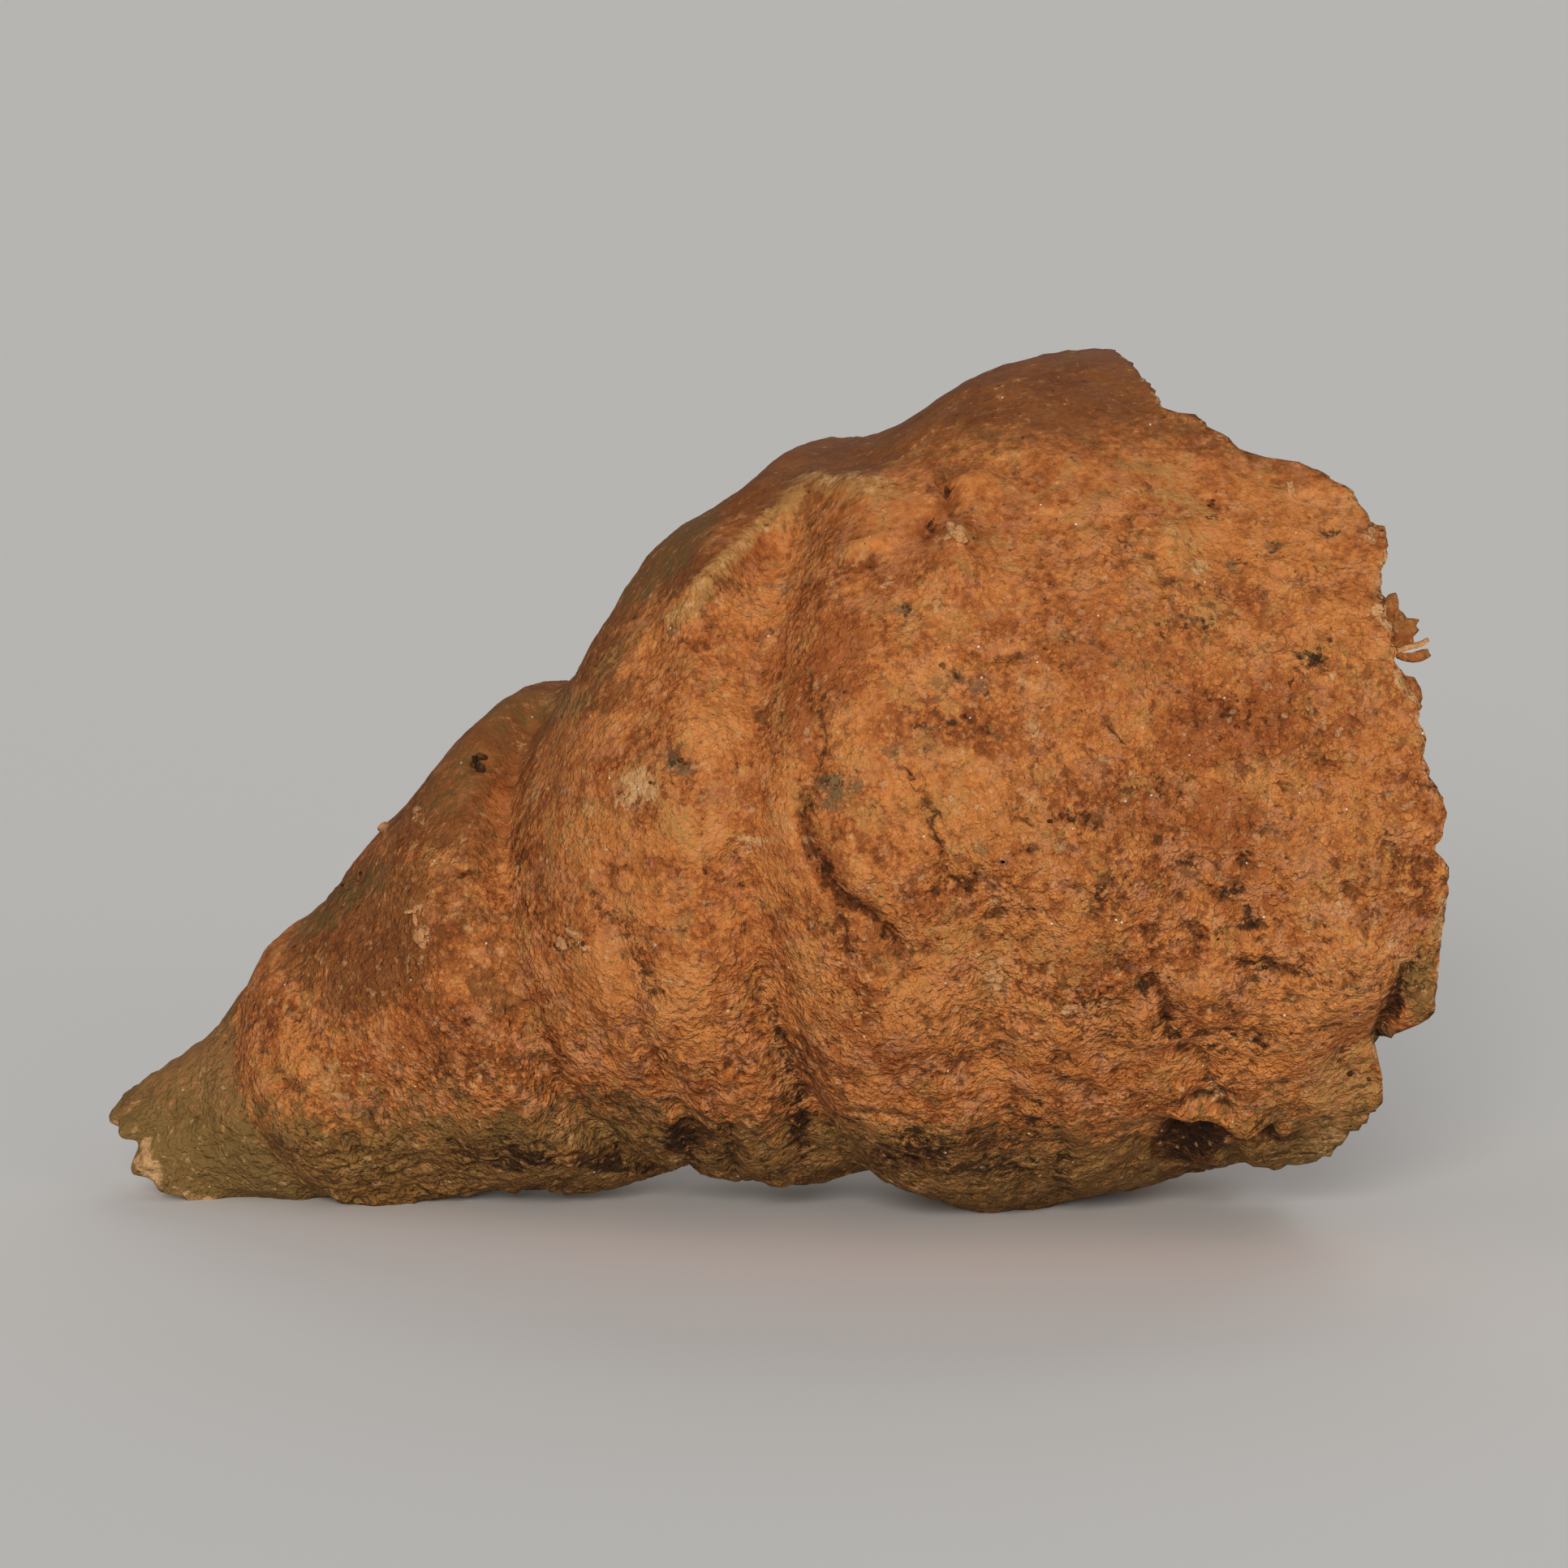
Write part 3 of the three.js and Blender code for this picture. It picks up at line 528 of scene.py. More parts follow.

# colour patches: pixel across, pixel down, half sizes, tilt, strength.
# Painted shade among them: the brown and olive ovals along the upper left
# edge, and the soot, umber and olive ovals along the bottom, under the ledge
# at the lower right and in holes; the olive there is also the stone's own colour.
PATCHES = {
    "ochre": [
        (883, 890, 56, 36, -12, 1), (920, 860, 40, 22, -10, 0.7), (1062, 926, 34, 24, 0, 0.9),
        (1040, 890, 30, 26, 0, 0.6), (1247, 1028, 40, 20, -10, 0.9), (1200, 950, 60, 34, 20, 0.6),
        (1314, 925, 26, 18, 0, 0.7), (1132, 1030, 16, 40, -10, 0.7), (751, 1205, 52, 40, 30, 0.9),
        (837, 1205, 36, 34, 0, 0.9), (800, 1105, 56, 26, 0, 0.8), (905, 1150, 34, 26, 0, 0.5),
        (800, 960, 46, 30, 0, 0.6), (770, 1050, 40, 20, 0, 0.6), (1651, 1218, 30, 24, 0, 0.7),
        (1593, 1178, 26, 16, 0, 0.7), (1540, 1160, 20, 12, 0, 0.5), (1456, 1280, 22, 12, 0, 0.8),
        (1459, 1341, 18, 10, 0, 0.8), (1364, 1286, 40, 18, 0, 0.5), (1680, 1000, 44, 60, 0, 0.7),
        (1640, 640, 60, 26, 35, 0.5), (1480, 700, 26, 50, -20, 0.5), (1180, 720, 60, 30, -20, 0.4),
        (1240, 800, 40, 12, -20, 0.5), (1140, 830, 50, 22, -20, 0.5), (370, 1300, 22, 60, -25, 0.8),
        (450, 1390, 40, 22, 30, 0.9), (990, 690, 60, 30, -30, 0.4), (1540, 960, 30, 26, 0, 0.4),
        (960, 1290, 30, 40, 0, 0.3), (1050, 1260, 50, 40, 0, 0.4), (1500, 680, 90, 50, 0, 1),
        (1590, 690, 60, 60, 0, 0.9), (1160, 1240, 90, 70, 0, 0.8), (1240, 1280, 70, 50, 0, 0.8),
        (1380, 1270, 60, 40, 0, 0.7), (1520, 1310, 90, 40, 0, 0.9), (1600, 1250, 70, 40, 0, 0.9),
        (860, 1270, 60, 50, 0, 0.8), (1000, 1200, 40, 60, 0, 0.7), (740, 1030, 50, 40, 0, 0.7),
        (1140, 990, 70, 60, 0, 0.7), (1200, 1060, 60, 40, 0, 0.5), (1440, 880, 50, 40, 0, 0.5),
        (1620, 780, 40, 60, 0, 0.6), (1200, 1030, 50, 60, 0, 0.8), (1190, 1160, 90, 40, 0, 0.7),
        (1050, 1080, 34, 34, 0, 0.6), (960, 1240, 34, 44, 0, 0.8), (1520, 840, 40, 30, 0, 0.6),
        (840, 1030, 60, 40, 0, 0.8), (960, 1090, 30, 40, 0, 0.7), (1290, 1170, 50, 50, 0, 0.8),
        (1210, 1010, 40, 40, 0, 0.7), (1290, 1250, 40, 40, 0, 0.7),
    ],
    "cream": [
        (792, 965, 26, 20, 10, 0.9), (772, 985, 22, 14, 0, 0.7), (927, 1043, 24, 12, 10, 0.6),
        (697, 979, 18, 9, 0, 0.5), (1270, 896, 12, 10, 0, 0.8), (1178, 662, 14, 9, 0, 1),
        (1095, 719, 9, 6, 0, 0.8), (1227, 1204, 12, 26, 8, 0.8), (1319, 1241, 16, 5, 0, 0.9),
        (521, 1153, 9, 12, 0, 1), (509, 1123, 8, 6, 0, 0.9), (1591, 602, 8, 14, 0, 0.7),
        (1689, 662, 9, 14, 0, 0.8), (1697, 720, 7, 10, 0, 0.8), (1700, 760, 8, 26, -15, 0.9),
        (1725, 830, 8, 34, -20, 0.9), (1647, 1114, 18, 14, 0, 0.6), (1724, 1177, 14, 26, 0, 0.6),
        (1780, 1120, 10, 26, 0, 0.8), (1172, 984, 14, 20, 0, 0.4), (1203, 994, 10, 10, 0, 0.5),
        (1050, 598, 80, 8, 4, 0.5), (925, 668, 76, 7, -46, 0.45), (842, 752, 44, 7, -46, 0.4),
        (1475, 690, 10, 40, -20, 0.5), (1648, 903, 6, 8, 0, 0.7), (1067, 925, 14, 8, 0, 0.6),
        (708, 1150, 12, 8, 0, 0.6), (478, 1022, 7, 6, 0, 0.6), (514, 1003, 6, 5, 0, 0.6),
        (180, 1440, 14, 34, -20, 1), (235, 1486, 40, 10, 15, 0.9), (1500, 1350, 24, 8, 0, 0.5),
        (1425, 480, 6, 14, 0, 0.8), (1640, 1400, 14, 40, 30, 0.5), (1660, 1330, 30, 14, 0, 0.3),
    ],
    "rust": [
        (1035, 805, 44, 60, 10, 0.9), (985, 880, 22, 60, -8, 0.8), (1380, 800, 90, 90, 0, 0.5),
        (1480, 900, 70, 60, 0, 0.8), (1510, 1010, 60, 50, 0, 0.8), (1560, 880, 40, 60, 0, 0.8),
        (1400, 1000, 60, 40, 0, 0.6), (1166, 612, 14, 24, 0, 1), (1142, 650, 14, 18, 20, 1),
        (600, 1000, 30, 90, 10, 0.5), (440, 1150, 60, 90, -20, 0.5), (540, 1260, 60, 60, -20, 0.5),
        (777, 865, 40, 22, 0, 0.6), (1015, 1070, 22, 36, -20, 1), (1090, 1165, 40, 24, 30, 0.7),
        (1140, 1120, 50, 40, 0, 0.4), (1340, 700, 60, 60, 0, 0.3), (1660, 880, 50, 40, 0, 0.3),
        (1190, 640, 40, 40, 0, 0.4), (1330, 500, 80, 50, -10, 0.5), (1590, 1060, 60, 60, 0, 0.4),
        (950, 1230, 24, 60, -14, 0.3), (1120, 1280, 60, 60, 0, 0.4), (1300, 1170, 70, 50, 0, 0.3),
    ],
    # brown: the stone's own brown, and painted shade along the upper left edge
    "brown": [
        (460, 1130, 120, 90, -40, 0.75), (560, 1060, 100, 60, -40, 0.6),
        (600, 1180, 60, 130, -25, 0.55), (640, 1000, 40, 90, 10, 0.5), (500, 1250, 60, 80, -30, 0.4),
        (640, 1320, 80, 60, 0, 0.4), (800, 800, 60, 50, -40, 0.4), (880, 1000, 40, 60, 20, 0.25),
        (1180, 560, 120, 40, -20, 0.5), (1330, 480, 90, 30, 0, 0.6), (1120, 640, 50, 30, 0, 0.2),
        (700, 960, 50, 60, 20, 0.3), (560, 1380, 120, 30, 0, 0.3), (1450, 620, 60, 30, 30, 0.2),
        (1210, 500, 90, 26, -20, 0.6), (370, 1290, 60, 110, -20, 0.3), (1000, 600, 120, 40, -20, 0.35),
        (900, 700, 60, 40, -45, 0.3), (740, 900, 60, 50, -40, 0.3), (745, 740, 46, 100, 42, 0.8),
        (820, 690, 46, 80, 48, 0.7), (530, 1000, 90, 46, -44, 0.7), (400, 1160, 90, 46, -44, 0.75),
        (745, 850, 50, 34, -30, 0.7), (900, 630, 80, 26, -36, 0.5), (560, 990, 44, 90, 30, 0.8),
        (470, 1190, 110, 56, -35, 0.8), (830, 690, 70, 50, -45, 0.8), (560, 1320, 50, 40, 0, 0.6),
        (640, 1395, 70, 26, 0, 0.7), (720, 800, 60, 50, -40, 0.7), (1120, 525, 60, 24, -20, 0.6),
        (880, 700, 50, 50, -45, 0.6), (740, 790, 50, 50, -45, 0.6), (560, 1110, 50, 60, 0, 0.6),
        (420, 1260, 40, 40, 0, 0.5), (1120, 1180, 36, 30, 0, 0.5), (1160, 1400, 60, 24, 0, 0.5),
    ],
    "straw": [
        (1655, 1350, 60, 60, -40, 1), (1625, 1410, 60, 34, -20, 0.9), (1682, 1310, 26, 34, 0, 0.8),
        (1745, 1205, 26, 44, 0, 0.6), (1772, 1150, 14, 40, 0, 0.6), (1700, 1040, 44, 70, 0, 0.45),
        (1468, 690, 24, 60, -20, 0.6), (1430, 590, 40, 44, 0, 0.45), (1560, 640, 50, 30, 0, 0.35),
        (1480, 755, 36, 20, 0, 0.5), (1046, 602, 84, 14, 4, 1), (962, 636, 52, 14, -40, 1),
        (900, 692, 66, 15, -46, 1), (846, 750, 44, 14, -46, 0.95), (765, 800, 60, 16, -42, 0.5),
        (690, 862, 50, 16, 0, 0.6), (792, 965, 50, 36, 10, 0.6), (930, 1045, 40, 20, 10, 0.5),
        (1225, 1200, 24, 40, 8, 0.7), (1226, 1140, 20, 40, 0, 0.4), (1320, 1238, 60, 16, 0, 0.4),
        (1080, 1400, 120, 16, 0, 0.6), (700, 1400, 120, 16, 0, 0.5), (1400, 1390, 50, 16, 0, 0.3),
        (450, 1440, 60, 16, 10, 0.6), (1560, 1425, 40, 12, 0, 0.8), (1650, 1090, 60, 30, 0, 0.4),
        (1290, 690, 60, 30, 0, 0.3), (830, 1000, 30, 20, 0, 0.4), (700, 1010, 40, 14, -20, 0.4),
        (1200, 1160, 80, 30, 0, 0.5), (1040, 1390, 60, 24, 0, 0.7), (1200, 1050, 40, 40, 0, 0.4),
        (1460, 640, 40, 50, -20, 0.6), (1150, 1000, 26, 18, 0, 0.6), (1060, 935, 26, 20, 0, 0.6),
        (840, 1020, 40, 26, 0, 0.6), (1290, 1170, 44, 34, 0, 0.5), (410, 1330, 26, 40, -25, 0.6),
        (480, 1400, 40, 22, 20, 0.6), (1050, 1400, 50, 20, 0, 0.5), (960, 1320, 24, 40, 0, 0.5),
    ],
    "dirt": [
        (1541, 1187, 30, 12, 0, 1), (1548, 1142, 24, 12, 20, 0.9), (1411, 1214, 12, 18, 0, 1),
        (1352, 1105, 20, 14, 30, 0.9), (1519, 1098, 26, 16, 25, 0.9), (1467, 1064, 14, 10, 0, 0.7),
        (1320, 1010, 34, 12, 0, 0.8), (1269, 1047, 18, 12, 0, 0.8), (1437, 1266, 16, 14, 0, 0.9),
        (1552, 1283, 22, 12, 0, 0.8), (1625, 815, 36, 16, 20, 1), (1600, 850, 20, 40, 0, 0.6),
        (839, 940, 20, 15, 20, 0.9), (1034, 962, 36, 17, -10, 1), (1117, 747, 15, 11, 20, 1),
        (1205, 850, 20, 14, 30, 0.9), (1567, 676, 14, 11, 30, 0.9), (1517, 696, 12, 10, 0, 0.9),
        (1603, 711, 10, 9, 0, 0.8), (1640, 656, 12, 9, 0, 0.8), (1480, 770, 34, 14, -15, 0.8),
        (1492, 640, 16, 10, 0, 0.7), (700, 1160, 36, 22, 30, 0.8), (660, 1112, 24, 26, 0, 0.7),
        (1180, 1092, 34, 20, 40, 0.7), (1290, 720, 14, 40, 0, 0.4), (1060, 840, 50, 40, 0, 0.4),
        (1180, 640, 30, 20, 0, 0.6), (1500, 870, 50, 40, 0, 0.5), (1420, 960, 60, 30, 0, 0.5),
        (1740, 1210, 20, 50, 10, 0.8), (1320, 560, 16, 12, 0, 0.5), (1410, 600, 16, 30, 20, 0.4),
        (900, 940, 24, 14, 0, 0.4), (630, 1060, 16, 40, 0, 0.5), (960, 980, 10, 40, 0, 0.4),
        (1300, 1330, 40, 50, 0, 0.4), (1460, 1350, 24, 16, 0, 0.9), (850, 1400, 50, 30, 0, 0.9),
        (620, 1420, 90, 26, 0, 0.8), (1130, 1415, 60, 26, 0, 0.8), (980, 1330, 18, 60, -6, 0.8),
        (1480, 1400, 60, 24, 0, 1), (1690, 1130, 20, 24, 0, 0.7),
    ],
    "slate": [
        (839, 942, 24, 17, 20, 1), (1028, 968, 24, 19, 0, 1), (1052, 964, 26, 13, 0, 1),
        (1030, 988, 22, 12, 0, 0.9), (1097, 922, 14, 9, 40, 1), (1117, 747, 14, 9, 20, 1),
        (1205, 850, 16, 10, 30, 1), (1176, 832, 22, 6, 35, 0.7), (1567, 676, 12, 9, 30, 0.8),
        (1517, 696, 10, 9, 0, 0.9), (1603, 711, 8, 7, 0, 0.8), (1640, 656, 11, 8, 0, 0.7),
        (1150, 895, 22, 5, 0, 0.6), (1182, 884, 12, 6, 0, 0.6), (1480, 765, 22, 8, -15, 0.6),
        (1492, 640, 14, 6, 0, 0.6), (1410, 1216, 9, 16, 0, 0.7), (1519, 1094, 22, 12, 20, 0.5),
        (1618, 812, 22, 8, 10, 0.7), (1650, 820, 10, 12, 0, 0.6), (720, 1040, 40, 14, -15, 0.5),
        (660, 1110, 20, 30, 10, 0.3), (975, 715, 26, 14, -20, 0.5), (1400, 1030, 30, 16, 0, 0.4),
        (1690, 1215, 20, 20, 0, 0.4), (930, 850, 22, 10, -30, 0.4),
    ],
    # umber: dark marks, and painted shade along the bottom and under the ledge at the lower right
    "umber": [
        (1016, 1078, 12, 30, -24, 0.9), (1046, 1115, 24, 9, 40, 0.8), (1442, 862, 12, 40, -10, 0.3),
        (1010, 860, 14, 40, 0, 0.4), (950, 1260, 12, 50, -14, 0.25), (985, 1395, 14, 46, -6, 0.8),
        (700, 1430, 90, 12, -3, 0.8), (850, 1405, 34, 24, 0, 0.9), (1120, 1425, 60, 22, 0, 0.6),
        (1220, 1405, 60, 18, 0, 0.6), (1310, 1440, 14, 40, 0, 0.35), (1470, 1412, 60, 34, 0, 1),
        (1555, 1400, 50, 12, 0, 0.9), (1510, 870, 30, 16, 40, 0.5), (1545, 1190, 30, 10, -8, 0.3),
        (1548, 1140, 18, 8, 20, 0.6), (1411, 1210, 10, 10, 0, 0.6), (1437, 1264, 14, 9, 0, 0.7),
        (1720, 1240, 12, 34, 24, 0.8), (1500, 1290, 20, 8, 30, 0.6), (1619, 817, 22, 9, 10, 0.5),
        (990, 720, 14, 8, 0, 0.5), (700, 1165, 24, 10, 0, 0.5), (633, 1050, 14, 50, 0, 0.4),
        (1480, 765, 16, 8, 0, 0.5), (550, 1320, 26, 16, 0, 0.4), (680, 1300, 30, 16, 0, 0.4),
        (1663, 1323, 6, 6, 0, 1),
    ],
    # near black: painted shade under the ledge, along the bottom and in holes, with dark dirt in the
    # rows of specks
    "soot_and_shade": [
        (1474, 1410, 44, 26, 10, 0.8), (1530, 1398, 56, 9, 3, 0.8), (588, 936, 11, 8, 20, 1),
        (1622, 812, 18, 7, 20, 0.8), (985, 1396, 9, 44, -6, 0.7), (1540, 1186, 26, 8, 8, 0.4),
        (1547, 1144, 14, 6, 25, 0.6), (1411, 1216, 5, 14, 0, 0.7), (1352, 1105, 11, 6, 30, 0.6),
        (1519, 1098, 16, 6, 25, 0.6), (1467, 1064, 7, 6, 0, 0.6), (1441, 1272, 7, 16, -40, 0.7),
        (1550, 1284, 12, 8, 40, 0.6), (1466, 1350, 18, 6, -10, 0.7), (1316, 1310, 8, 30, 0, 0.5),
        (1270, 1375, 26, 18, 0, 0.5), (1320, 1010, 10, 6, 0, 0.5), (1269, 1047, 7, 5, 0, 0.5),
        (1016, 1075, 6, 14, -24, 0.8), (640, 1430, 50, 16, -3, 0.7), (760, 1436, 60, 9, -3, 0.8),
        (840, 1410, 26, 20, 0, 0.8), (900, 1425, 40, 14, 0, 0.5), (1140, 1410, 40, 22, 0, 0.6),
        (1220, 1440, 80, 16, 0, 0.6), (1310, 1445, 10, 30, 0, 0.5), (1720, 1240, 7, 34, 24, 0.7),
        (956, 1270, 6, 60, -14, 0.5), (1120, 1424, 60, 12, 0, 0.5), (446, 1076, 7, 4, -30, 0.8),
        (1147, 645, 6, 14, 30, 0.6), (1168, 606, 5, 16, -15, 0.6), (1663, 1323, 5, 5, 0, 0.8),
        (1090, 1160, 34, 6, 36, 0.5), (1028, 1092, 6, 26, -30, 0.5),
    ],
    # olive: the stone's own olive, and painted shade along the upper left edge and the bottom
    "olive": [
        (690, 865, 50, 22, 0, 0.5), (760, 810, 46, 14, -42, 0.45), (850, 755, 60, 12, -44, 0.45),
        (960, 650, 60, 12, -34, 0.4), (1060, 618, 60, 10, 0, 0.4), (1120, 700, 30, 20, 0, 0.3),
        (1640, 1390, 50, 30, -30, 0.5), (1610, 1425, 40, 16, -20, 0.5), (1710, 1290, 30, 30, 0, 0.6),
        (1752, 1215, 26, 56, 8, 0.75), (1300, 1445, 120, 26, 0, 0.9), (1470, 1425, 80, 24, 0, 0.9),
        (1050, 1430, 90, 18, 0, 0.8), (800, 1435, 160, 18, 0, 0.8), (480, 1455, 140, 22, 0, 1),
        (1612, 1197, 14, 10, 0, 0.5), (1180, 1400, 80, 20, 0, 0.6), (620, 1400, 90, 20, 0, 0.5),
        (1036, 965, 40, 26, 0, 0.5), (1370, 1432, 110, 26, 0, 1), (560, 960, 80, 34, -44, 0.45),
        (640, 860, 70, 26, -44, 0.5), (830, 680, 110, 24, -48, 0.6), (420, 1110, 90, 24, -40, 0.6),
        (1660, 1370, 44, 70, 20, 0.35),
    ],
}

# how strong each colour's patches are on the far side, 0.6 for the rest
FAR_STAINS = {"ochre": 1.0, "rust": 0.8, "brown": 0.8, "soot_and_shade": 0.35, "slate": 0.45}

# where the wall turns rough, where it turns coarse and pitted, and where its
# ribs show: pixel across, then the pixel down below which it does
ROUGH_LINE = [(250, 1250), (400, 1120), (560, 1040), (700, 1120), (850, 1180),
              (1150, 1020), (1300, 740), (1380, 560), (1560, 540), (1800, 600)]
COARSE_LINE = [(250, 1400), (450, 1300), (600, 1230), (850, 1190), (1000, 1130),
               (1150, 1090), (1250, 1010), (1350, 950), (1450, 860), (1560, 820),
               (1700, 940), (1800, 980)]
RIB_LINE = [(300, 1420), (600, 1300), (1000, 1260), (1400, 1180), (1700, 1150)]
# the smoother lobe at the lower right: middle, half sizes in pixels, tilt
SMOOTH_LOBE = (1665, 1365, 110, 60, -70)


def line_distance(across, down, points):
    """Distance in pixels from each place to a line of points, below zero on
    the line's left, and how far along the line, 0 to 1, its nearest point is."""
    best = np.full(across.shape, 1e9)
    share = np.zeros(across.shape)
    count = len(points) - 1
    for k in range(count):
        (x0, y0), (x1, y1) = points[k], points[k + 1]
        step_x, step_y = x1 - x0, y1 - y0
        t = ((across - x0) * step_x + (down - y0) * step_y) / (step_x ** 2 + step_y ** 2)
        t = np.clip(t, 0, 1)
        off_x, off_y = across - x0 - t * step_x, down - y0 - t * step_y
        gap = np.hypot(off_x, off_y)
        closer = gap < np.abs(best)
        side = np.where(step_x * off_y - step_y * off_x < 0, -1, 1)
        best = np.where(closer, gap * side, best)
        share = np.where(closer, (k + t) / count, share)
    return best, share


def spot_distance(across, down, x, y, half_along, half_across, tilt):
    """Distance from a tilted oval's middle, counted in its own half sizes."""
    turn = math.radians(tilt)
    a = (across - x) * math.cos(turn) + (down - y) * math.sin(turn)
    b = (down - y) * math.cos(turn) - (across - x) * math.sin(turn)
    return np.hypot(a / half_along, b / half_across)


def marks_height(across, down, wander):
    """Height of the near side's lines, spots and rings. wander, in pixels,
    shifts the places a little so that no mark is smooth; a line fades at its
    ends. It also gives how dirty each place is, and of the open cracks the
    signed distance to the nearest one and its half width, both in pixels."""
    x = across + wander[0]
    y = down + wander[1]
    height = np.zeros(across.shape)
    crack_gap = np.full(across.shape, 99.0)
    crack_width = np.zeros(across.shape)
    dirt = np.zeros(across.shape)
    for depth, half_width, opening, dirty, reach, points in LINES.values():
        gap, share = line_distance(x, y, points)
        ends = smoothstep(0, 0.12, share) * smoothstep(0, 0.12, 1 - share)
        height += depth * (0.25 + 0.75 * ends) * hump(gap / half_width) * (ends > 0)
        dirt = np.maximum(dirt, dirty * ends ** 0.3 * hump(gap / reach))
        if opening:
            closer = np.abs(gap) < np.minimum(np.abs(crack_gap), CRACK_REACH)
            crack_gap = np.where(closer, gap, crack_gap)
            crack_width = np.where(closer, opening * ends ** 0.5, crack_width)
    for cx, cy, along_half, across_half, tilt, rise in SPOTS:
        height += rise * hump(
            spot_distance(x, y, cx, cy, along_half, across_half, tilt))
    for cx, cy, radius, half_width, rise in RINGS:
        height += rise * hump((np.hypot(x - cx, y - cy) - radius) / half_width)
    crack_width = crack_width * (np.abs(crack_gap) < CRACK_EDGE)
    return height, dirt, crack_gap, crack_width


# ---- The fine surface ------------------------------------------------------------

COLUMNS = 324
TIP_ROWS = 12
WALL_ROWS = 232
CUP_ROWS = 56
NEAR_DENSITY = 0.40               # columns crowd by this share on the near side
MIDDLE_RADIUS = 14.0

# noise of the surface: size in millimetres, seed, number of layers, and the
# share of its height that each layer hands to the next, finer one
NOISES = {
    "patches": (7.0, 101, 3, 0.5),
    "far_ribs": (9.0, 131, 2, 0.5),
    "mark_across": (1.8, 211, 2, 0.5),
    "mark_down": (1.8, 251, 2, 0.5),
    "lumps": (4.2, 301, 3, 0.5),
    "grain": (1.1, 331, 3, 0.8),
    "wrinkle_bend": (3.0, 351, 2, 0.5),
    "rib_bend": (5.0, 371, 2, 0.5),
    "rib_wear": (1.5, 391, 2, 0.5),
    "streaks": (0.7, 421, 2, 0.7),
    "rim_highlight_breaks": (0.9, 471, 1, 0.5),
    "stain_across": (1.1, 511, 3, 0.5),
    "stain_down": (1.1, 541, 3, 0.5),
    "far_stains": (6.0, 600, 3, 0.5),
    "apex": (1.6, 701, 4, 0.5),
    "septum_bend": (4.0, 801, 2, 0.5),
    "septum_edge": (1.8, 831, 3, 0.5),
    "fill_edge": (4.0, 881, 3, 0.5),
    "fill": (1.5, 901, 4, 0.5),
    "rim": (0.8, 951, 4, 0.8),
    "chips": (0.5, 1000, 3, 0.5),
    "pebbles": (0.8, 1200, 3, 0.7),
}
# strewn hollows and crumbs: size in millimetres and seed
STREWN_PITS = (0.8, 401)
STREWN_CRUMBS = (1.05, 461)
STREWN_BLISTERS = (1.9, 861)

# relief of the wall in millimetres, and what its coarse, ribbed or far zone adds
LUMP_HEIGHT = 0.20
GRAIN_HEIGHT, COARSE_GRAIN = 0.10, 0.20
WRINKLE_HEIGHT, FAR_WRINKLE = 0.025, 0.05
WRINKLES_PER_STATION = 2.1
RIB_HEIGHT, RIBBED_RIB = 0.006, 0.15
STREAK_HEIGHT = 0.08
PIT_DEPTH, COARSE_PIT = 0.03, 0.15
CRUMB_HEIGHT = 0.20
# how many times longer along the horn than across it
STREAK_STRETCH = np.array([3, 1, 1])
RIB_WEAR_STRETCH = np.array([2.6, 1, 1])
PIT_STRETCH = np.array([1.6, 1, 1])
MARK_WANDER = 6                   # pixels that noise shifts marks and stains by
STAIN_WANDER = 12
CRACK_SPAN = 40                   # pixels that one unit of a crack mask stands for


def column_turns():
    """Angles of the columns from the crest: even steps f, bent by
    f + k cos f - k so that they crowd on the near side."""
    f = 2 * np.pi * np.arange(COLUMNS) / COLUMNS
    return f + NEAR_DENSITY * (np.cos(f) - 1)


def blurred(values, reach):
    """Mean over a square of the grid, wrapping round the horn."""
    total = sum(np.roll(values, k, axis=1) for k in range(-reach, reach + 1))
    padded = np.pad(total, ((reach, reach), (0, 0)), mode="edge")
    total = sum(padded[k:k + len(values)] for k in range(2 * reach + 1))
    return total / (2 * reach + 1) ** 2


def named_noise(points, name, other=0):
    """The noise of that name in the table; other picks another draw of it."""
    size, seed, layers, keep = NOISES[name]
    return layered(points, size, seed + other, layers, keep)


def in_cad_box(places):
    """Places in millimetres, held inside the box of the plain solid."""
    low, high = (np.array(corner) / MM for corner in cad_box)
    return np.clip(places, low, high)


def tip_break(turn):
    """How far the broken apex's edge is chipped back: two fast waves of the
    turn, and a hump for each chip."""
    degrees = np.degrees(turn)
    chip = 0.2 * np.sin(7 * turn + 2.0) + 0.15 * np.sin(13 * turn)
    for centre, half, depth in TIP_CHIPS:
        chip = chip + depth * hump((degrees - centre) / half)
    return chip


def wall_zones(place, across, down, near, s, upward, patchy):
    """Where the wall is coarse, ribbed, ash grey at the apex and worn smooth
    on top, 0 to 1. On the near side each zone starts below its own line; on
    the far side broad noise spreads it. Upward is how far the skin faces up."""
    far = 1 - near
    coarse_line = np.interp(across, *np.transpose(COARSE_LINE))
    rib_line = np.interp(across, *np.transpose(RIB_LINE))
    rough_line = np.interp(across, *np.transpose(ROUGH_LINE))
    coarse = near * (0.6 * smoothstep(-70, 90, down - coarse_line + 60 * patchy)
                     + 0.4 * smoothstep(-90, 120, down - rough_line + 60 * patchy))
    worn = smoothstep(0.40, 0.80, upward)
    coarse = coarse + far * smoothstep(-0.3, 0.4, patchy + 0.12) * (1 - 0.8 * worn)
    ribbed = near * smoothstep(-80, 120, down - rib_line + 50 * patchy)
    ribbed = ribbed + far * smoothstep(-0.5, 0.3, named_noise(place, "far_ribs"))
    at_tip = smoothstep(3.6, 2.6, s + 0.35 * patchy)
    coarse = coarse * (1 - 0.75 * at_tip)
    lobe = hump(spot_distance(across, down, *SMOOTH_LOBE))
    return coarse * (1 - 0.6 * near * lobe), ribbed, at_tip, worn


